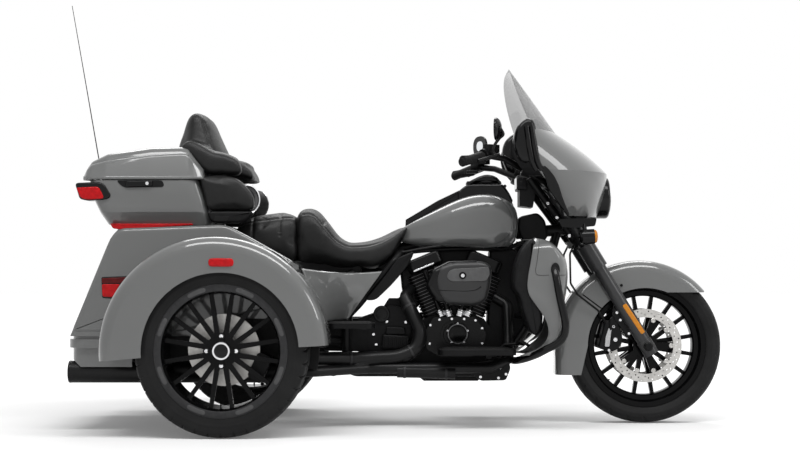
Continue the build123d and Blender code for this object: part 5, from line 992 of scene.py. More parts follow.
cam_edge = [
    (0.175, 0.405), (0.212, 0.427), (0.262, 0.430), (0.312, 0.430), (0.358, 0.424), (0.385, 0.392),
    (0.385, 0.330), (0.350, 0.296), (0.285, 0.292), (0.215, 0.296), (0.172, 0.330)
]
edge_spots = [(x, level_at("cam_cover", x, z), z) for x, z in cam_edge]
skin(
    "cam_screws", screws(cam_spots, (0, -1, 0), 0.0042) + screws(edge_spots, (0, -1, 0), 0.0055), bright,
    "chassis"
)

# Intake, coils and loom: a throttle body between the barrels, a coil cover and cable bundles under the
# tank, an oil cooler in front, a tray under the seat and a boot and box behind. All are black mouldings
# clipped to the frame.
throttle = plate(
    [(0.196, 0.640), (0.350, 0.640), (0.372, 0.712), (0.330, 0.732), (0.200, 0.728), (0.172, 0.700)],
    -0.060, 0.060, 0.020, 0.012
)
coil_cover = plate(
    [(-0.060, 0.640), (0.030, 0.590), (0.090, 0.640), (0.076, 0.716), (-0.040, 0.700)], -0.090, 0.090,
    0.020, 0.012
)
cooler = plate(
    [(0.408, 0.300), (0.520, 0.286), (0.574, 0.400), (0.566, 0.690), (0.500, 0.724), (0.420, 0.712)],
    -0.070, 0.070, 0.016, 0.010
)
neck_cover = plate(
    [
        (0.543, 0.849), (0.620, 0.866), (0.650, 0.836), (0.664, 0.770), (0.640, 0.737), (0.560, 0.744),
        (0.535, 0.800)
    ],
    -0.046, 0.046, 0.016, 0.010
)
seat_tray = plate(
    [(-0.400, 0.560), (-0.120, 0.580), (-0.100, 0.640), (-0.140, 0.668), (-0.390, 0.668)], -0.140, 0.140,
    0.016, 0.010
)
air_boot = plate(
    [(0.050, 0.640), (0.120, 0.660), (0.150, 0.540), (0.125, 0.470), (0.085, 0.470), (0.060, 0.540)],
    -0.072, 0.072, 0.020, 0.012
)
pivot_box = plate(
    [(-0.262, 0.300), (-0.030, 0.296), (-0.020, 0.392), (-0.256, 0.398)], -0.128, 0.128, 0.018, 0.008
)
skin(
    "under_tank_works", [throttle, coil_cover, cooler, neck_cover, seat_tray, air_boot, pivot_box],
    case_black, "chassis"
)
looms = []
for y, rise, size in (
    (-0.092, 0.0, 0.007), (-0.078, -0.012, 0.009), (-0.066, 0.002, 0.006), (0.088, -0.004, 0.008),
    (0.070, 0.0, 0.006)
):
    route = [
        (0.060, y, 0.700), (0.200, y * 1.1, 0.724 + rise), (0.360, y * 1.1, 0.728 + rise),
        (0.480, y, 0.716), (0.560, y * 0.8, 0.744)
    ]
    looms.append(tube(bend(route, 60), size, 10))
skin("cable_looms", looms, satin_black, "chassis")

# Air cleaner: a die cast cover in dark satin grey with a raised flat panel, held to the engine by one
# screw through its middle.
cleaner_grey = finish(
    "cleaner_grey", (0.019, 0.019, 0.0195), (0.025, 0.025, 0.0255), 10.0, 0.36, gleam=0.30
)
panel_grey = finish("panel_grey", (0.062, 0.062, 0.063), (0.078, 0.078, 0.079), 60.0, 0.34, metal=0.4)
wear(gloss_black, "air_cleaner")
shell_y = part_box("air_cleaner")[0][1]
shell = [
    (0.194, 0.612), (0.206, 0.643), (0.262, 0.661), (0.386, 0.664), (0.416, 0.642), (0.412, 0.578),
    (0.394, 0.507), (0.346, 0.484), (0.234, 0.492), (0.200, 0.528), (0.188, 0.582)
]
skin(
    "cleaner_shell", [plate(shell, shell_y - 0.004, shell_y + 0.09, 0.022, 0.022, crown=0.002)],
    cleaner_grey, "chassis"
)
panel = [
    (0.236, 0.606), (0.244, 0.622), (0.260, 0.632), (0.402, 0.640), (0.408, 0.612), (0.392, 0.584),
    (0.256, 0.582), (0.240, 0.592)
]
skin(
    "cleaner_panel", [plate(panel, shell_y - 0.0075, shell_y + 0.01, 0.010, 0.002)], panel_grey,
    "chassis"
)
# Painted shade: a gloss black line along the crease below the panel, widening towards its front end.
groove = bend([(0.206, 0.548), (0.260, 0.546), (0.330, 0.546), (0.352, 0.550), (0.372, 0.562)], 40)
skin(
    "cleaner_crease_shade",
    [tube(np.insert(groove, 1, shell_y - 0.0045, axis=1), np.linspace(0.0012, 0.0022, 40), 8)],
    gloss_black, "chassis"
)
screw_ring = [(0.0, 0.0), (0.0, 0.0145), (0.003, 0.0145), (0.004, 0.011), (0.002, 0.0095), (0.002, 0.0)]
screw_x, screw_z = 0.299, 0.606
skin(
    "cleaner_screw", [turned(screw_ring, (screw_x, shell_y - 0.0075, screw_z), (0, -1, 0), 32)],
    gloss_black, "chassis"
)
skin(
    "cleaner_button", screws([(screw_x, shell_y - 0.0095, screw_z)], (0, -1, 0), 0.0082), bright,
    "chassis"
)

# Gearbox and starter: cast alloy cases bolted up behind the engine, with a round cap on the side, a
# ribbed box below it and bright cover screws round the rim.
box_y = level_at("gearbox", -0.023, 0.440)
cap = [
    (-0.02, 0.0), (-0.02, 0.034), (0.004, 0.034), (0.007, 0.031), (0.007, 0.024), (0.004, 0.022),
    (0.005, 0.010), (0.0055, 0.0)
]
skin(
    "gearbox_cap", [turned(cap, (-0.023, box_y - 0.004, 0.450), (0, -1, 0), 40)], cover_black, "chassis",
)
low_box = plate(
    [(-0.024, 0.309), (0.088, 0.309), (0.092, 0.362), (-0.020, 0.368)], box_y - 0.030, box_y + 0.02,
    0.012, 0.006
)
top_box = plate(
    [(-0.008, 0.368), (0.074, 0.366), (0.072, 0.396), (-0.004, 0.400)], box_y - 0.024, box_y + 0.02,
    0.008, 0.005
)
rib_wide, rib_low, rib_high = 0.008, 0.314, 0.358
ribs = [
    plate(
        [(x, rib_low), (x + rib_wide, rib_low), (x + rib_wide, rib_high), (x, rib_high)], box_y - 0.034,
        box_y - 0.02, 0.002, 0.0015
    )
    for x in np.linspace(-0.012, 0.070, 6)
]
skin("gearbox_boxes", [low_box, top_box] + ribs, case_black, "chassis")
rim_spots = [
    (-0.002, 0.420), (0.075, 0.417), (-0.056, 0.368), (-0.045, 0.326), (0.112, 0.361), (0.104, 0.323)
]
heads = [(x, level_at("gearbox", x, z), z) for x, z in rim_spots]
skin("gearbox_screws", screws(heads, (0, -1, 0), 0.0064), bright, "chassis")

# Exhaust: black coated steel headers under rolled heat shields that are held by worm clamps. Each header
# runs back into a long straight muffler with a rolled open end.
shield_black = finish(
    "shield_black", (0.0046, 0.0046, 0.0048), (0.0080, 0.0080, 0.0083), 12.0, 0.34, gleam=0.18
)
wear(shield_black, "exhaust_pipes", "mufflers")
upper = bend(
    [
        (0.067, -0.152, 0.520), (0.108, -0.186, 0.436), (0.130, -0.204, 0.368), (0.114, -0.214, 0.316),
        (0.060, -0.220, 0.288), (-0.040, -0.226, 0.277), (-0.120, -0.246, 0.275), (-0.220, -0.290, 0.278),
        (-0.300, -0.330, 0.275), (-0.372, -0.355, 0.250)
    ],
    120
)
lower = bend([(0.272, -0.225, 0.218), (0.150, -0.222, 0.222), (0.040, -0.224, 0.224)], 40)
skin(
    "heat_shields", [tube(upper, 0.0275, 28), tube(lower, 0.0255, 28)], shield_black, "chassis",
)
clamps = []
for path, spot, radius in (
    (upper, 8, 0.0285), (upper, 40, 0.0285), (upper, 80, 0.0285), (lower, 6, 0.0265), (lower, 34, 0.0265)
):
    band = [
        (-0.005, radius - 0.002), (-0.005, radius), (-0.004, radius + 0.001), (0.004, radius + 0.001),
        (0.005, radius), (0.005, radius - 0.002)
    ]
    clamps.append(turned(band, path[spot], path[spot + 1] - path[spot - 1], 36))
skin("shield_clamps", clamps, machined_grey, "chassis", wraps=(True, True))
mouth = [
    (-0.006, 0.0432), (0.0, 0.0440), (0.003, 0.0425), (0.002, 0.0400), (-0.010, 0.0385), (-0.05, 0.0380),
    (-0.05, 0.0)
]
ends = [turned(mouth, (-1.236, flip * 0.360, 0.231), (-1, 0, 0), 48) for flip in (-1, 1)]
skin("muffler_ends", ends, gloss_black, "chassis")

# Fuel tank: two pressed steel halves welded and painted, with a thin dark line along each flank. A black
# console with a raised cap cover runs along the top.
line_dark = finish("line_dark", (0.020, 0.020, 0.020), (0.030, 0.030, 0.030), 40.0, 0.35, gleam=0.3)
rim_line = bend(
    [
        (0.360, 0.934), (0.435, 0.934), (0.484, 0.905), (0.514, 0.859), (0.519, 0.807), (0.500, 0.762),
        (0.461, 0.732), (0.418, 0.7215), (0.330, 0.7215), (0.312, 0.7235)
    ],
    120
)
inner_line = bend(
    [
        (0.420, 0.930), (0.470, 0.904), (0.500, 0.858), (0.506, 0.807), (0.489, 0.768), (0.455, 0.742),
        (0.418, 0.7315), (0.332, 0.7315)
    ],
    110
)
lines = [
    tube(np.insert(p, 1, on_side("fuel_tank", p[:, 0], p[:, 1]) + 0.0002, axis=1), 0.00085, 6)
    for p in (rim_line, inner_line)
]
skin("tank_lines", pair(*lines), line_dark, "chassis")
door = [
    (0.322, 0.984), (0.345, 1.000), (0.375, 1.015), (0.400, 1.023), (0.417, 1.024), (0.437, 1.020),
    (0.454, 1.011), (0.468, 0.995), (0.474, 0.985)
]
cap_cover = skin(
    "fuel_cap_cover", [plate(door, -0.041, 0.041, 0.006, 0.011)], gloss_black, "fuel_door_body",
)
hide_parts("fuel_door")
nose = [
    (0.290, 0.952), (0.312, 0.970), (0.330, 0.9815), (0.474, 0.9825), (0.4861, 0.970), (0.503, 0.945),
    (0.5175, 0.9145), (0.505, 0.890), (0.290, 0.890)
]
skin("console_nose", [plate(nose, -0.0550, 0.0550, 0.006, 0.009)], gloss_black, "chassis")
deck = bend([(0.100, 0.828), (0.160, 0.862), (0.230, 0.908), (0.300, 0.952)], 50)
skin(
    "console_rails", pair(tube(np.insert(deck, 1, -0.0435, axis=1), 0.0036, 10)), gloss_black, "chassis",
)

# Seats: foam pads on a steel pan under stitched black vinyl, the rider's scooped with a raised rear
# bolster, the passenger's flatter and split by cross seams. Pressure in the foam rounds the cover out
# between the seams.
vinyl = finish(
    "black_vinyl", (0.0042, 0.0042, 0.0042), (0.0075, 0.0075, 0.0075), 25.0, 0.42, bump=0.45,
    bump_grain=650.0, gleam=0.24, spread=0.07
)


def form_at(form, x):
    """Top, floor and half-width of a padded form at places along it, each a smooth curve through its
    listed points."""
    return [through(np.array(line)[:, 0], np.array(line)[:, 1], x) for line in form]


def closed(grid):
    """Grid with one more row at each end, all of it at the middle of the end row, so that both ends
    close."""
    ends = grid[[0, -1]].mean(axis=1, keepdims=True) + np.zeros((2, grid.shape[1], 3))
    return np.concatenate([ends[:1], grid, ends[1:]])


def saddle_grid(reach, form, end_round, square, rows=120, cols=72):
    """Padded form along the trike. At each place along it the section is a superellipse between a floor
    and a top level, as wide as the half-width there; within end_round of each end it draws in on a
    quarter circle."""
    x = reach[0] + (reach[1] - reach[0]) * (1 - np.cos(np.linspace(0, np.pi, rows))) / 2
    high, low, half = form_at(form, x)
    gap = np.clip(np.minimum(x - reach[0], reach[1] - x) / end_round, 0, 1)
    shrink = end_round * (1 - np.sqrt(1 - (1 - gap) ** 2))
    turn = np.linspace(0, 2 * np.pi, cols, endpoint=False)[None, :]
    middle, tall = ((high + low) / 2)[:, None], np.maximum((high - low) / 2 - shrink, 0.002)[:, None]
    wide = np.maximum(half - shrink, 0.002)[:, None]
    y = wide * squared(np.cos(turn), square)
    z = middle + tall * squared(np.sin(turn), square)
    return closed(np.stack([x[:, None] + 0 * y, y, z], axis=-1))


def stuff(pad, voxel, cap, rounds=4):
    """Voxel skin over the sewn form, eased by some rounds of smoothing, then blown up as cloth by an
    inner pressure for twenty frames with no gravity. No point may move further than the cap, and one
    subdivision smooths the result."""
    bpy.context.view_layer.objects.active = pad
    weave = pad.modifiers.new("weave", "REMESH")
    weave.mode, weave.voxel_size, weave.use_smooth_shade = "VOXEL", voxel, True
    bpy.ops.object.modifier_apply(modifier=weave.name)
    ease = pad.modifiers.new("ease", "SMOOTH")
    ease.factor, ease.iterations = 0.5, rounds
    bpy.ops.object.modifier_apply(modifier=ease.name)
    smooth(pad.data)
    count = len(pad.data.vertices)
    start, end = np.empty(count * 3), np.empty(count * 3)
    pad.data.vertices.foreach_get("co", start)
    cloth = pad.modifiers.new("cloth", "CLOTH")
    cloth.settings.use_pressure = True
    pressure, last_frame = 4.0, 20
    cloth.settings.uniform_pressure_force = pressure
    cloth.settings.effector_weights.gravity = 0.0
    cloth.settings.quality = 4
    cloth.point_cache.frame_start, cloth.point_cache.frame_end = 1, last_frame
    for frame_no in range(1, last_frame + 1):
        scene.frame_set(frame_no)
    swollen = pad.evaluated_get(bpy.context.evaluated_depsgraph_get())
    swollen.data.vertices.foreach_get("co", end)
    pad.modifiers.remove(cloth)
    scene.frame_set(1)
    start, end = start.reshape(-1, 3), end.reshape(-1, 3)
    move = end - start
    far = np.linalg.norm(move, axis=1, keepdims=True)
    place = start + move * np.minimum(1.0, cap / np.maximum(far, 1e-9))
    pad.data.vertices.foreach_set("co", place.ravel())
    finer = pad.modifiers.new("finer", "SUBSURF")
    finer.levels = finer.render_levels = 1
    bpy.ops.object.modifier_apply(modifier=finer.name)
    smooth(pad.data)
    pad.data.update()


def sew(pad, lines, depth, width):
    """Draws the cover in along sewn lines: each point sinks along its normal by depth * exp(-(distance /
    width)^2), with the distance to the nearest point of the lines."""
    count = len(pad.data.vertices)
    spots, out = np.empty(count * 3), np.empty(count * 3)
    pad.data.vertices.foreach_get("co", spots)
    pad.data.vertices.foreach_get("normal", out)
    spots, out = spots.reshape(-1, 3), out.reshape(-1, 3)
    stitches = np.concatenate(lines)
    shares = np.array_split(spots, 60)
    gap = np.concatenate(
        [np.sqrt(((part[:, None] - stitches[None]) ** 2).sum(-1)).min(axis=1) for part in shares]
    )
    spots = spots - out * (depth * np.exp(-((gap / width) ** 2)))[:, None]
    pad.data.vertices.foreach_set("co", spots.ravel())
    pad.data.update()


RIDER_TOP = [
    (-0.366, 0.866), (-0.345, 0.880), (-0.3205, 0.884), (-0.293, 0.876), (-0.2475, 0.820),
    (-0.2075, 0.767), (-0.1665, 0.739), (-0.1105, 0.736), (-0.0295, 0.757), (0.0515, 0.803),
    (0.080, 0.822)
]
RIDER_FLOOR = [
    (-0.366, 0.640), (-0.120, 0.640), (-0.0335, 0.646), (0.0235, 0.690), (0.050, 0.742), (0.080, 0.792)
]
RIDER_WIDTH = [
    (-0.366, 0.166), (-0.30, 0.180), (-0.20, 0.190), (-0.10, 0.184), (-0.03, 0.160), (0.03, 0.125),
    (0.080, 0.098)
]
RIDER, RIDER_SQUARE = (RIDER_TOP, RIDER_FLOOR, RIDER_WIDTH), 3.6
rider = skin(
    "rider_seat_pad", [saddle_grid((-0.366, 0.080), RIDER, 0.022, RIDER_SQUARE)], vinyl, "chassis",
)
PILLION_TOP = [(-0.612, 0.818), (-0.560, 0.838), (-0.480, 0.852), (-0.400, 0.860), (-0.366, 0.858)]
PILLION_FLOOR = [(-0.612, 0.647), (-0.366, 0.647)]
PILLION_WIDTH = [(-0.612, 0.165), (-0.500, 0.174), (-0.366, 0.168)]
PILLION, PILLION_SQUARE = (PILLION_TOP, PILLION_FLOOR, PILLION_WIDTH), 4.2
pillion = skin(
    "passenger_seat_pad", [saddle_grid((-0.612, -0.366), PILLION, 0.020, PILLION_SQUARE)], vinyl,
    "chassis"
)
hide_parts("rider_seat")
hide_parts("passenger_seat")


def cross_seam(x, form, square):
    """Line over the top of a pad from side to side at one place along it: the upper half of its
    section."""
    turn = np.linspace(0.02, np.pi - 0.02, 60)
    high, low, half = form_at(form, np.array([x]))
    y = half * squared(np.cos(turn), square)
    return np.stack(
        [0 * y + x, y, (high + low) / 2 + (high - low) / 2 * squared(np.sin(turn), square)], axis=-1
    )


def long_seam(reach, form, turn, square, count=140):
    """Line along a pad at one turn of its section, on both sides."""
    x = np.linspace(*reach, count)
    high, low, half = form_at(form, x)
    y = half * squared(np.cos(turn), square)
    z = (high + low) / 2 + (high - low) / 2 * squared(np.sin(turn), square)
    return [np.stack([x, flip * y, z], axis=-1) for flip in (-1, 1)]


VOXEL, SWELL, SEAM_DEPTH, SEAM_WIDTH = 0.008, 0.007, 0.005, 0.006
stuff(rider, VOXEL, SWELL)
stuff(pillion, VOXEL, SWELL)
rider_seams = long_seam((-0.340, 0.060), RIDER, 0.72, RIDER_SQUARE)
rider_seams += [cross_seam(-0.255, RIDER, RIDER_SQUARE)]
pillion_seams = long_seam((-0.595, -0.385), PILLION, 0.80, PILLION_SQUARE)
pillion_seams += [cross_seam(x, PILLION, PILLION_SQUARE) for x in (-0.545, -0.435)]
sew(rider, rider_seams, SEAM_DEPTH, SEAM_WIDTH)
sew(pillion, pillion_seams, SEAM_DEPTH, SEAM_WIDTH)

# Side panels: thin painted mouldings that sweep out from the frame to the fenders. They are clipped on
# over the shocks and have a wall of even thickness.


def thicken(sheet):
    """Gives a thin sheet its wall, inwards from the face that shows."""
    wall = sheet.modifiers.new("wall", "SOLIDIFY")
    wall.thickness, wall.offset = 0.004, -1.0


v = np.linspace(0, 1, 26)[:, None]
u = np.linspace(0, 1, 40)[None, :]
front_edge = np.array([-0.020, 0.624]) + v[..., None] * np.array([-0.140, -0.196])
rear_edge = np.array([-0.330, 0.634]) + v[..., None] * np.array([0.085, -0.206])
flat = front_edge * (1 - u[..., None]) + rear_edge * u[..., None]
flare = 0.187 + 0.215 * u**1.8 - 0.006 * np.sin(np.pi * u) * (1 - v) + 0.012 * np.sin(np.pi * v)
sweep = np.stack(
    [flat[..., 0] + 0 * flare, -flare, flat[..., 1] - 0.012 * np.sin(np.pi * u) * (1 - v)], axis=-1
)
panels = skin("side_panel_skins", pair(sweep), grey_paint, "chassis", wraps=(False, False))
thicken(panels)
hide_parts("side_panels")

# Rear body: a painted shell over the axle with a drop-down door, wide fenders and a bumper skirt. Lamps
# in black bezels sit on its rear corners, a red marker on each fender, and a blank plate hangs under the
# door.
red = finish(
    "red_lens", (0.36, 0.003, 0.005), (0.50, 0.006, 0.009), 60.0, 0.16, bump=0.2, bump_grain=260.0,
    gleam=0.16
)
long_way, tall_way = np.linspace(-1, 1, 31)[:, None], np.linspace(-1, 1, 15)[None, :]
bow = np.clip(1 - np.abs(long_way) ** 8, 0, 1) ** 0.5
face_x, face_z = -0.6105 + 0.048 * long_way + 0 * tall_way, 0.6545 + 0.0165 * bow * tall_way
lift = 0.009 * np.clip((1 - tall_way**6) * (1 - long_way**10), 0, 1) ** 0.5
marker = np.stack([face_x, on_side("rear_fenders", face_x, face_z) + 0.002 - lift, face_z], axis=-1)
skin("fender_markers", pair(marker), red, "chassis", wraps=(False, False))
side_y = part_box("trunk_body")[0][1]
tail = [(-1.104, 0.601), (-0.990, 0.606), (-1.052, 0.515), (-1.100, 0.519)]
tail_upper = [(-1.101, 0.596), (-1.006, 0.600), (-1.020, 0.576), (-1.101, 0.576)]
tail_lower = [(-1.101, 0.573), (-1.028, 0.573), (-1.058, 0.522), (-1.098, 0.524)]


def on_back(outline, low, high, soft):
    """Plate on the sloped back of the body: it leans forward in step with its height."""
    slope_foot, slope = 0.512, 0.407
    grid = plate(outline, low, high, soft, 0.003, across=0)
    grid[..., 0] += (grid[..., 2] - slope_foot) * slope
    return grid


rear_bezel = on_back(
    [(-0.404, 0.514), (-0.331, 0.514), (-0.328, 0.600), (-0.400, 0.602)], -1.1685, -1.138, 0.012
)
bezels = skin(
    "tail_bezels", pair(plate(tail, side_y - 0.0060, side_y + 0.040, 0.008, 0.004), rear_bezel),
    gloss_black, "chassis"
)
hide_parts("rear_lamps")
dark_red = finish(
    "dark_red_lens", (0.070, 0.0015, 0.002), (0.11, 0.003, 0.004), 60.0, 0.14, bump=0.2, bump_grain=260.0,
    gleam=0.16
)
skin(
    "tail_upper_lenses", pair(plate(tail_upper, side_y - 0.0085, side_y + 0.010, 0.006, 0.003)), dark_red,
    "chassis"
)
skin(
    "tail_lower_lenses", pair(plate(tail_lower, side_y - 0.0085, side_y + 0.010, 0.008, 0.003)), red,
    "chassis"
)
rear_lens = on_back(
    [(-0.396, 0.522), (-0.339, 0.522), (-0.336, 0.592), (-0.392, 0.594)], -1.1705, -1.140, 0.010
)
skin("tail_rear_lenses", pair(rear_lens), red, "chassis")
flank = [
    (-1.222, 0.384), (-1.073, 0.750), (-1.042, 0.7885), (-0.622, 0.8035), (-0.530, 0.7555),
    (-0.350, 0.6540), (-0.362, 0.600), (-0.460, 0.480), (-0.640, 0.420), (-0.800, 0.384), (-0.940, 0.384),
    (-1.080, 0.384)
]
skin(
    "body_flanks", pair(plate(flank, side_y - 0.004, side_y + 0.050, 0.030, 0.016)), grey_paint,
    "chassis"
)
# Behind each rear wheel, a flat black moulded liner spans the upper half from near the axle out past the
# tyre. It is also a dark sheet that stands in for the shade inside the wheel well, hiding the lit parts
# behind the spokes.
spread = np.radians(np.linspace(-14, 194, 36))
arc = np.stack([np.cos(spread), np.sin(spread)], axis=-1)
liner_and_shade = np.concatenate([0.355 * arc, 0.060 * arc[::-4]]) + np.array(REAR_HUBS["right"])[[0, 2]]
skin(
    "wheel_liners_and_shade", pair(plate(liner_and_shade, -0.424, -0.414, 0.004, 0.002)), moulded_black, "chassis",
)
plate_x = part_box("rear_bumper")[0][0]
blank_white = finish("blank_plate", (0.62, 0.62, 0.61), (0.70, 0.70, 0.69), 30.0, 0.4)
carrier_line = [(-0.105, 0.246), (0.105, 0.246), (0.105, 0.366), (-0.105, 0.366)]
plate_line = [(-0.090, 0.256), (0.090, 0.256), (0.090, 0.358), (-0.090, 0.358)]
carrier = plate(carrier_line, plate_x - 0.006, plate_x + 0.004, 0.010, 0.002, across=0)
blank = plate(plate_line, plate_x - 0.0085, plate_x - 0.005, 0.008, 0.0008, across=0)
skin("plate_carrier", [carrier], moulded_black, "chassis")
skin("blank_plate", [blank], blank_white, "chassis")
heads = [(plate_x - 0.0085, y, z) for y in (-0.073, 0.073) for z in (0.273, 0.343)]
skin("plate_screws", screws(heads, (-1, 0, 0), 0.005), bright, "chassis")

# Luggage box: a moulded box and a lid with a rolled lip, painted, on the rear rack. A black latch with a
# lever and a key is let into each side, wrap-round lamps sit at the rear corners and a red strip runs
# below.


def crate_grid(levels, square, cols=120):
    """Box wall round an upright axis. At each listed height the outline is a superellipse between a rear
    and a front line with a half-width; the list may run up the outside and down the inside, and each end
    closes on its middle."""
    z, back, front, half = np.array(levels).T[:, :, None]
    turn = np.linspace(0, 2 * np.pi, cols, endpoint=False)[None, :]
    x = (front + back) / 2 + (front - back) / 2 * squared(np.cos(turn), square)
    y = half * squared(np.sin(turn), square)
    return closed(np.stack([x, y, z + 0 * x], axis=-1))


CRATE_LEVELS = [
    (0.8070, -1.100, -0.712, 0.262), (0.8075, -1.1150, -0.700, 0.2670),
    (0.8120, -1.1200, -0.6975, 0.2690), (0.8520, -1.1455, -0.7040, 0.2845),
    (0.8560, -1.1480, -0.7060, 0.2870), (0.8590, -1.1495, -0.7070, 0.2880),
    (0.9000, -1.1690, -0.7180, 0.2920), (0.9820, -1.1900, -0.7440, 0.2960),
    (0.9850, -1.1890, -0.7445, 0.2950), (0.9850, -1.1850, -0.7480, 0.2910),
    (0.8400, -1.140, -0.712, 0.276), (0.8300, -1.120, -0.730, 0.262)
]
crate = skin(
    "luggage_crate", [crate_grid(CRATE_LEVELS, 11.0)], grey_paint, "chassis", crease=28.0
)
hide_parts("tour_box")
LID_KNOTS = np.array(
    [
        (-1.2180, 0.9960, 0.9990, 0.230), (-1.2100, 1.0060, 1.0130, 0.268),
        (-1.1950, 1.0280, 1.0420, 0.286), (-1.1780, 1.0440, 1.0640, 0.294),
        (-1.1180, 1.0590, 1.0930, 0.300), (-0.9430, 1.0830, 1.1180, 0.302),
        (-0.8200, 1.0910, 1.1210, 0.300), (-0.7950, 1.0880, 1.1130, 0.299),
        (-0.7330, 1.0180, 1.0300, 0.295), (-0.7270, 0.9985, 1.0000, 0.285)
    ]
)
lid_back, lid_front = LID_KNOTS[[0, -1], 0]
x_rows = lid_back + (lid_front - lid_back) * (1 - np.cos(np.linspace(0, np.pi, 90))) / 2
crest, ridge, half = (np.interp(x_rows, LID_KNOTS[:, 0], LID_KNOTS[:, k])[:, None] for k in (1, 2, 3))
over = np.sin(np.linspace(-np.pi / 2, np.pi / 2, 41))[None, :]
top_y, top_z = (half - 0.030) * over, crest + 0.004 + (ridge - crest - 0.004) * (1 - np.abs(over) ** 24)
side_y = np.concatenate(
    [half + step for step in (-0.006, -0.0005, 0.0015, 0.0, -0.0015, -0.012, -0.0165, -0.0225)], axis=1
)
low_z = np.minimum(0.9895 + 0 * crest, crest - 0.0065)
lip_z = [low_z + step for step in (-0.0015, -0.0015, 0.004, 0.0085, 0.0115)]
rises = ((-0.008, 0.0116), (-0.001, 0.0117), (0.0025, 0.0118))
wall_z = [np.maximum(crest + rise, low_z + step) for rise, step in rises]
side_z = np.concatenate(lip_z + wall_z, axis=1)
lid_y = np.concatenate([side_y, top_y[:, ::-1], -side_y[:, ::-1]], axis=1)
lid_z = np.concatenate([side_z, np.maximum(top_z, low_z + 0.0119), side_z[:, ::-1]], axis=1)
wall_share, wall_depth = 0.975, 0.005
under_z = np.maximum(lid_z[:, ::-1] - wall_depth, low_z - 0.0015)
shell_y = np.concatenate([lid_y, lid_y[:, ::-1] * wall_share], axis=1)
shell_z = np.concatenate([lid_z, under_z], axis=1)
lid_grid = closed(np.stack([x_rows[:, None] + 0 * shell_y, shell_y, shell_z], axis=-1))
lid = skin("luggage_lid", [lid_grid], grey_paint, "tour_lid_body", crease=30.0)
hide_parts("tour_box_lid")
hinge = [
    tube(np.linspace((x, 0.307, 0.9835), (x + 0.070, 0.307, 0.9835), 6), 0.006, 14)
    for x in (-1.080, -0.900)
]
skin("lid_hinges", hinge, satin_black, "chassis")
recess = [
    (-1.072, 0.9835), (-1.060, 0.967), (-1.038, 0.954), (-0.888, 0.957), (-0.883, 0.967), (-0.892, 0.9835)
]
box_y = -0.2945
skin(
    "latch_plates", pair(plate(recess, box_y - 0.003, box_y + 0.006, 0.010, 0.0015)), moulded_black,
    "chassis"
)
lever = [(-1.034, 0.981), (-1.034, 0.957), (-0.928, 0.960), (-0.928, 0.9825)]
skin(
    "latch_levers", pair(plate(lever, box_y - 0.010, box_y - 0.001, 0.006, 0.004)), gloss_black,
    "chassis"
)
skin(
    "latch_keys", pair(*screws([(-0.949, box_y - 0.010, 0.971)], (0, -1, 0), 0.0075)), bright, "chassis",
)
bezel = [
    (-1.236, 0.967), (-1.228, 0.974), (-1.143, 0.977), (-1.120, 0.969), (-1.094, 0.924), (-1.100, 0.913),
    (-1.118, 0.906), (-1.186, 0.902), (-1.218, 0.909)
]
lens = [
    (-1.233, 0.955), (-1.142, 0.959), (-1.120, 0.916), (-1.128, 0.909), (-1.186, 0.906), (-1.214, 0.912)
]
skin(
    "box_lamp_bezels", pair(plate(bezel, -0.3005, -0.2300, 0.012, 0.006)), gloss_black, "chassis",
)
skin("box_lamp_lenses", pair(plate(lens, -0.3030, -0.2400, 0.012, 0.005)), red, "chassis")
strip = [
    (-1.100, 0.812), (-0.772, 0.812), (-0.770, 0.806), (-0.812, 0.803), (-0.987, 0.792), (-1.065, 0.789),
    (-1.088, 0.793)
]
skin("box_side_strips", pair(plate(strip, -0.285, -0.262, 0.006, 0.003)), red, "chassis")

# Backrest: one stitched pad on the lid with a tapered middle, a lumbar roll in front and arms that wrap
# forward on both sides, foam under black vinyl.
BACK_LEVELS = [
    (1.000, -0.866, -0.640, 0.205), (1.060, -0.862, -0.652, 0.203), (1.110, -0.858, -0.667, 0.199),
    (1.142, -0.853, -0.682, 0.194), (1.182, -0.838, -0.700, 0.184), (1.243, -0.818, -0.727, 0.166),
    (1.270, -0.804, -0.746, 0.152)
]


def tower_grid(levels, end_round, square, rows=90, cols=72):
    """Padded form standing up. At each height the section is a superellipse between a rear and a front
    line with a half-width; within end_round of its top and foot it draws in on a quarter circle."""
    levels = np.array(levels)
    z = levels[0, 0] + (levels[-1, 0] - levels[0, 0]) * (1 - np.cos(np.linspace(0, np.pi, rows))) / 2
    back, front, half = through(levels[:, 0], levels[:, 1:], z).T
    gap = np.clip(np.minimum(z - z[0], z[-1] - z) / end_round, 0, 1)
    shrink = end_round * (1 - np.sqrt(1 - (1 - gap) ** 2))
    turn = np.linspace(0, 2 * np.pi, cols, endpoint=False)[None, :]
    deep = np.maximum((front - back) / 2 - shrink, 0.002)[:, None]
    wide = np.maximum(half - shrink, 0.002)[:, None]
    x = ((front + back) / 2)[:, None] + deep * squared(np.cos(turn), square)
    y = wide * squared(np.sin(turn), square)
    return closed(np.stack([x, y, z[:, None] + 0 * x], axis=-1))


ARM_TOP = [
    (-0.834, 1.126), (-0.803, 1.148), (-0.750, 1.1340), (-0.703, 1.1090), (-0.633, 1.0900),
    (-0.592, 1.0620), (-0.580, 1.036)
]
ARM_FLOOR = [
    (-0.834, 1.100), (-0.803, 1.075), (-0.769, 1.046), (-0.727, 1.013), (-0.660, 1.010), (-0.592, 1.010),
    (-0.580, 1.016)
]
ARM_WIDTH = [(-0.834, 0.032), (-0.750, 0.042), (-0.580, 0.042)]
ARM = (ARM_TOP, ARM_FLOOR, ARM_WIDTH)
arms = saddle_grid((-0.834, -0.580), ARM, 0.018, 3.0, 80, 56) + (0.0, -0.216, 0.0)
ROLL_TOP = [(-0.700, 1.080), (-0.609, 1.074), (-0.572, 1.062), (-0.548, 1.036), (-0.535, 1.010)]
ROLL_FLOOR = [(-0.700, 0.996), (-0.600, 0.996), (-0.535, 0.993)]
ROLL_WIDTH = [(-0.700, 0.165), (-0.600, 0.165), (-0.535, 0.150)]
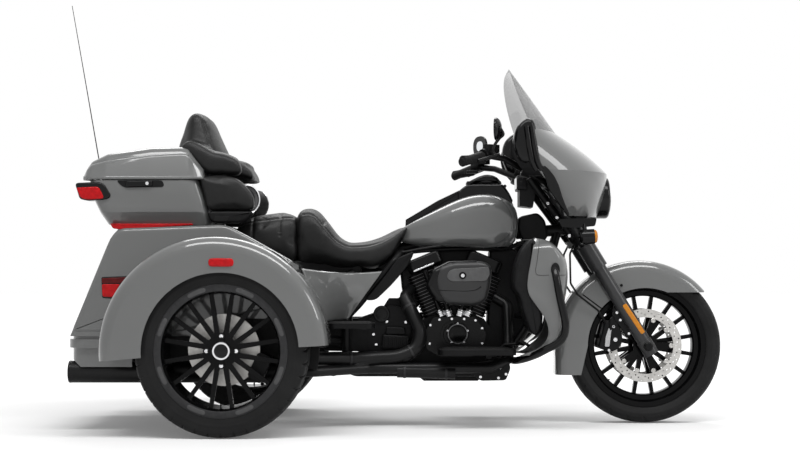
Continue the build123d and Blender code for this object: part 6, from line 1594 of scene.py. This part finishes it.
roll = saddle_grid((-0.700, -0.535), (ROLL_TOP, ROLL_FLOOR, ROLL_WIDTH), 0.014, 4.0, 60, 72)
rest = skin(
    "backrest_pad", [tower_grid(BACK_LEVELS, 0.022, 2.6), roll] + pair(arms), vinyl, "tour_lid_body",
)
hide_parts("backrest")
stuff(rest, VOXEL, 0.005, 10)
seam_z = np.linspace(1.085, 1.225, 80)
_, seam_front, seam_half = through(np.array(BACK_LEVELS)[:, 0], np.array(BACK_LEVELS)[:, 1:], seam_z).T
rest_seams = [
    np.stack([seam_front - 0.030, flip * (seam_half - 0.020), seam_z], axis=-1) for flip in (-1, 1)
]
sew(rest, rest_seams, 0.004, 0.008)

# Speaker pods: vinyl covered armrests beside the passenger on black plastic carriers, each with a round
# speaker in a bright ring facing forward.
pod = [
    (-0.748, 0.996), (-0.739, 1.001), (-0.639, 1.001), (-0.598, 0.995), (-0.570, 0.972), (-0.537, 0.934),
    (-0.526, 0.901), (-0.529, 0.864), (-0.714, 0.862)
]
cup = [(-0.714, 0.862), (-0.529, 0.862), (-0.546, 0.836), (-0.578, 0.815), (-0.700, 0.815)]
pods = skin(
    "armrest_pads", pair(plate(pod, -0.292, -0.205, 0.030, 0.016, crown=0.003)), vinyl, "chassis",
)
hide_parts("speaker_pods")
stuff(pods, 0.007, 0.004)
skin(
    "pod_carriers", pair(plate(cup, -0.288, -0.198, 0.022, 0.010)), moulded_black, "chassis",
)
slot = [(-0.686, 0.840), (-0.626, 0.840), (-0.634, 0.822), (-0.686, 0.822)]
skin(
    "pod_slots", pair(plate(slot, -0.2895, -0.282, 0.006, 0.001)), gloss_black, "chassis"
)
cone_grey = finish(
    "cone_grey", (0.040, 0.040, 0.041), (0.060, 0.060, 0.061), 120.0, 0.6, bump=0.3, bump_grain=1200.0
)
POD_CUP = [
    (-0.02, 0.0), (-0.02, 0.060), (0.030, 0.062), (0.046, 0.060), (0.048, 0.056), (0.040, 0.050),
    (0.040, 0.0)
]
POD_CONE = [
    (0.030, 0.0), (0.034, 0.014), (0.031, 0.020), (0.042, 0.046), (0.045, 0.052), (0.040, 0.054),
    (0.028, 0.0)
]
POD_RING = [(0.042, 0.0600), (0.048, 0.0605), (0.051, 0.0580), (0.050, 0.0540), (0.045, 0.0530)]
for label, flip in SIDES.items():
    facing, mid = np.array([0.62, flip * 0.78, 0.0]), np.array([-0.5880, flip * 0.205, 0.911])
    skin(
        label + "_pod_cup", [turned(POD_CUP, mid, facing, 48)], moulded_black, "chassis"
    )
    skin(label + "_pod_cone", [turned(POD_CONE, mid, facing, 48)], cone_grey, "chassis")
    skin(
        label + "_pod_ring", [turned(POD_RING, mid, facing, 56)], bright, "chassis",
        wraps=(True, True)
    )

# Antenna: a thin black steel whip in a moulded ferrule, screwed to a bracket at the left rear corner of
# the luggage box. It leans back and tapers to its tip.
WHIP_Y = 0.262
whip = [
    (-1.373, WHIP_Y, 1.777), (-1.312, WHIP_Y, 1.440), (-1.2515, WHIP_Y, 1.1015), (-1.2270, WHIP_Y, 0.965),
    (-1.2205, WHIP_Y, 0.930)
]
whip = bend(whip, 60)
heights = (0.93, 0.985, 0.990, 1.000, 1.080, 1.100, 1.777)
radii = (0.0085, 0.0085, 0.0060, 0.0050, 0.0045, 0.0024, 0.0014)
thick = np.interp(whip[:, 2], heights, radii)
stay = plate(
    [
        (-1.236, 0.930), (-1.205, 0.930), (-1.160, 0.925), (-1.160, 0.945), (-1.205, 0.950),
        (-1.236, 0.950)
    ],
    0.252, 0.274, 0.006, 0.003
)
antenna = skin("antenna_whip", [tube(whip, thick, 12), stay], satin_black, "chassis")
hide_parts("antenna")

# Lower fairings: painted leg shields with a snap-in upper cover, behind each a black cooler pod. A bent
# steel guard tube comes through a grommet in the shield and runs down and in to the frame.
SHIELD_REAR = np.array(
    [
        (0.2940, 0.5192), (0.3080, 0.5567), (0.3238, 0.5883), (0.3475, 0.6120), (0.3751, 0.6238),
        (0.4146, 0.6219), (0.4540, 0.6041), (0.4935, 0.5765), (0.5290, 0.5528), (0.5646, 0.5449),
        (0.5961, 0.5469), (0.6514, 0.5567), (0.7225, 0.5686), (0.7521, 0.5745)
    ]
)
SHIELD_FRONT = np.array(
    [
        (0.2940, 0.5600), (0.3020, 0.5883), (0.3218, 0.6159), (0.3534, 0.6534), (0.3830, 0.6712),
        (0.4461, 0.6850), (0.5014, 0.6909), (0.5488, 0.6988), (0.6317, 0.7020), (0.6790, 0.6909),
        (0.7067, 0.6712), (0.7284, 0.6515), (0.7402, 0.6357), (0.7481, 0.6120), (0.7521, 0.5900)
    ]
)


def shield_y(x, z):
    """Side level of a leg shield: bowed out in its middle, turned in at its front, and rolled in at its
    top."""
    rear, front = (
        through(t[:, 0], t[:, 1], np.ravel(z)).reshape(np.shape(z)) for t in (SHIELD_REAR, SHIELD_FRONT)
    )
    share = np.clip((x - rear) / (front - rear), 0, 1)
    return (
        -0.443 + 0.022 * (1 - share) ** 2 + 0.045 * np.clip((share - 0.72) / 0.28, 0, 1) ** 2
        + 0.060 * np.clip((z - 0.695) / 0.057, 0, 1) ** 2.5
        + 0.06 * np.clip((0.36 - z) / 0.066, 0, 1) ** 1.5
    )


z_rows = np.linspace(0.2945, 0.7518, 80)[:, None]
rear, front = (through(t[:, 0], t[:, 1], z_rows[:, 0])[:, None] for t in (SHIELD_REAR, SHIELD_FRONT))
x_side = rear + (front - rear) * np.linspace(0, 1, 40)[None, :]
y_side = shield_y(x_side, z_rows + 0 * x_side)
turn_in = np.linspace(0.04, 1, 22)[None, :]
x_front = front - 0.045 * turn_in**2
y_front = y_side[:, -1:] + (-0.170 - y_side[:, -1:]) * turn_in
x_all, y_all = np.concatenate([x_side, x_front], axis=1), np.concatenate([y_side, y_front], axis=1)
grid = np.stack([x_all, y_all, z_rows + 0 * x_all], axis=-1)
shields = skin(
    "leg_shields", pair(grid), grey_paint, "chassis", wraps=(False, False), crease=60.0
)
thicken(shields)
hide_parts("lower_fairings")
seams = [
    bend(
        [
            (0.594, 0.749), (0.590, 0.722), (0.5804, 0.6514), (0.5765, 0.6240), (0.5805, 0.6105),
            (0.592, 0.6072), (0.6278, 0.6072)
        ],
        60
    ),
    bend([(0.669, 0.6072), (0.680, 0.6075), (0.6925, 0.6080)], 20)
]
seam_tubes = [
    tube(np.insert(p, 1, shield_y(p[:, 0], p[:, 1]) - 0.0002, axis=1), 0.0012, 6) for p in seams
]
skin("shield_seams", pair(*seam_tubes), line_dark, "chassis")
turn = np.linspace(0, 2 * np.pi, 16, endpoint=False)
grommet_line = np.stack([0.6515 + 0.0175 * np.cos(turn), 0.6285 + 0.0275 * np.sin(turn)], axis=-1)
grommet = plate(grommet_line, -0.4455, -0.425, 0.002, 0.002)
skin("guard_grommets", pair(grommet), moulded_black, "chassis")
guard = bend(
    [
        (0.560, -0.075, 0.660), (0.600, -0.180, 0.664), (0.636, -0.330, 0.655), (0.6480, -0.425, 0.640),
        (0.6534, -0.455, 0.600), (0.6653, -0.466, 0.525), (0.6800, -0.470, 0.458),
        (0.6868, -0.470, 0.4066), (0.6791, -0.468, 0.3711), (0.6594, -0.462, 0.3475),
        (0.6159, -0.440, 0.3218), (0.5883, -0.410, 0.3040), (0.5567, -0.350, 0.2860),
        (0.5150, -0.250, 0.2680), (0.500, -0.120, 0.2640)
    ],
    130
)
guards = skin("guard_tubes", pair(tube(guard, 0.0150, 20)), gloss_black, "chassis")
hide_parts("engine_guard")
pod_line = [
    (0.560, 0.750), (0.578, 0.745), (0.604, 0.600), (0.606, 0.420), (0.590, 0.370), (0.560, 0.380),
    (0.528, 0.470), (0.514, 0.530), (0.4935, 0.552), (0.4920, 0.590), (0.505, 0.655), (0.526, 0.706)
]
arms = [
    tube(bend([(0.560, -0.205, z), (0.540, -0.120, z), (0.530, -0.072, z)], 12), 0.010, 14)
    for z in (0.440, 0.640)
]
pods = skin(
    "cooler_pods", pair(plate(pod_line, -0.412, -0.195, 0.022, 0.016), *arms), moulded_black, "chassis",
)
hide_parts("radiators")

# Footboards: steel plates for the rider and small folding ones for the passenger. A ribbed rubber pad is
# pressed on each.
rib_rubber = finish(
    "rib_rubber", (0.005, 0.005, 0.005), (0.009, 0.009, 0.009), 40.0, 0.6, bump=0.3, bump_grain=900.0,
    gleam=0.15
)


def ribbed_pad(x0, x1, y0, y1, level, ribs, height):
    """Rubber pad whose top carries ribs along the board: its level rises by a clipped sine of the place
    across, and falls to the board at the rim."""
    x, y = np.linspace(0, 1, 31)[:, None], np.linspace(0, 1, 121)[None, :]
    rim = np.clip(np.minimum(np.minimum(x, 1 - x) * 22, np.minimum(y, 1 - y) * 22), 0, 1)
    wave = np.clip(np.sin(2 * np.pi * ribs * y) * 2, -1, 1)
    wave = wave * np.clip(np.minimum(x, 1 - x) * 12 - 0.4, 0, 1)
    thickness, corner_draw = 0.004, 0.014
    rise = rim * (thickness + height * wave)
    taper = corner_draw * (2 * x - 1) ** 4
    wide = y0 + (y1 - y0) * y
    return np.stack(
        [x0 + (x1 - x0) * x + 0 * y, wide + 0 * x + taper * np.sign(0.5 - y), level + rise], axis=-1
    )


rider_top, pillion_top = (
    level_at("footboards", x, y, axis=2, side=1) for x, y in ((0.35, -0.31), (-0.14, -0.30))
)
rider_pad = ribbed_pad(0.212, 0.494, -0.398, -0.218, rider_top, 9, 0.0022)
pillion_pad = ribbed_pad(-0.232, -0.056, -0.392, -0.250, pillion_top, 7, 0.002)
skin(
    "footboard_pads", pair(rider_pad, pillion_pad), rib_rubber, "chassis", wraps=(False, False),
    crease=50.0
)
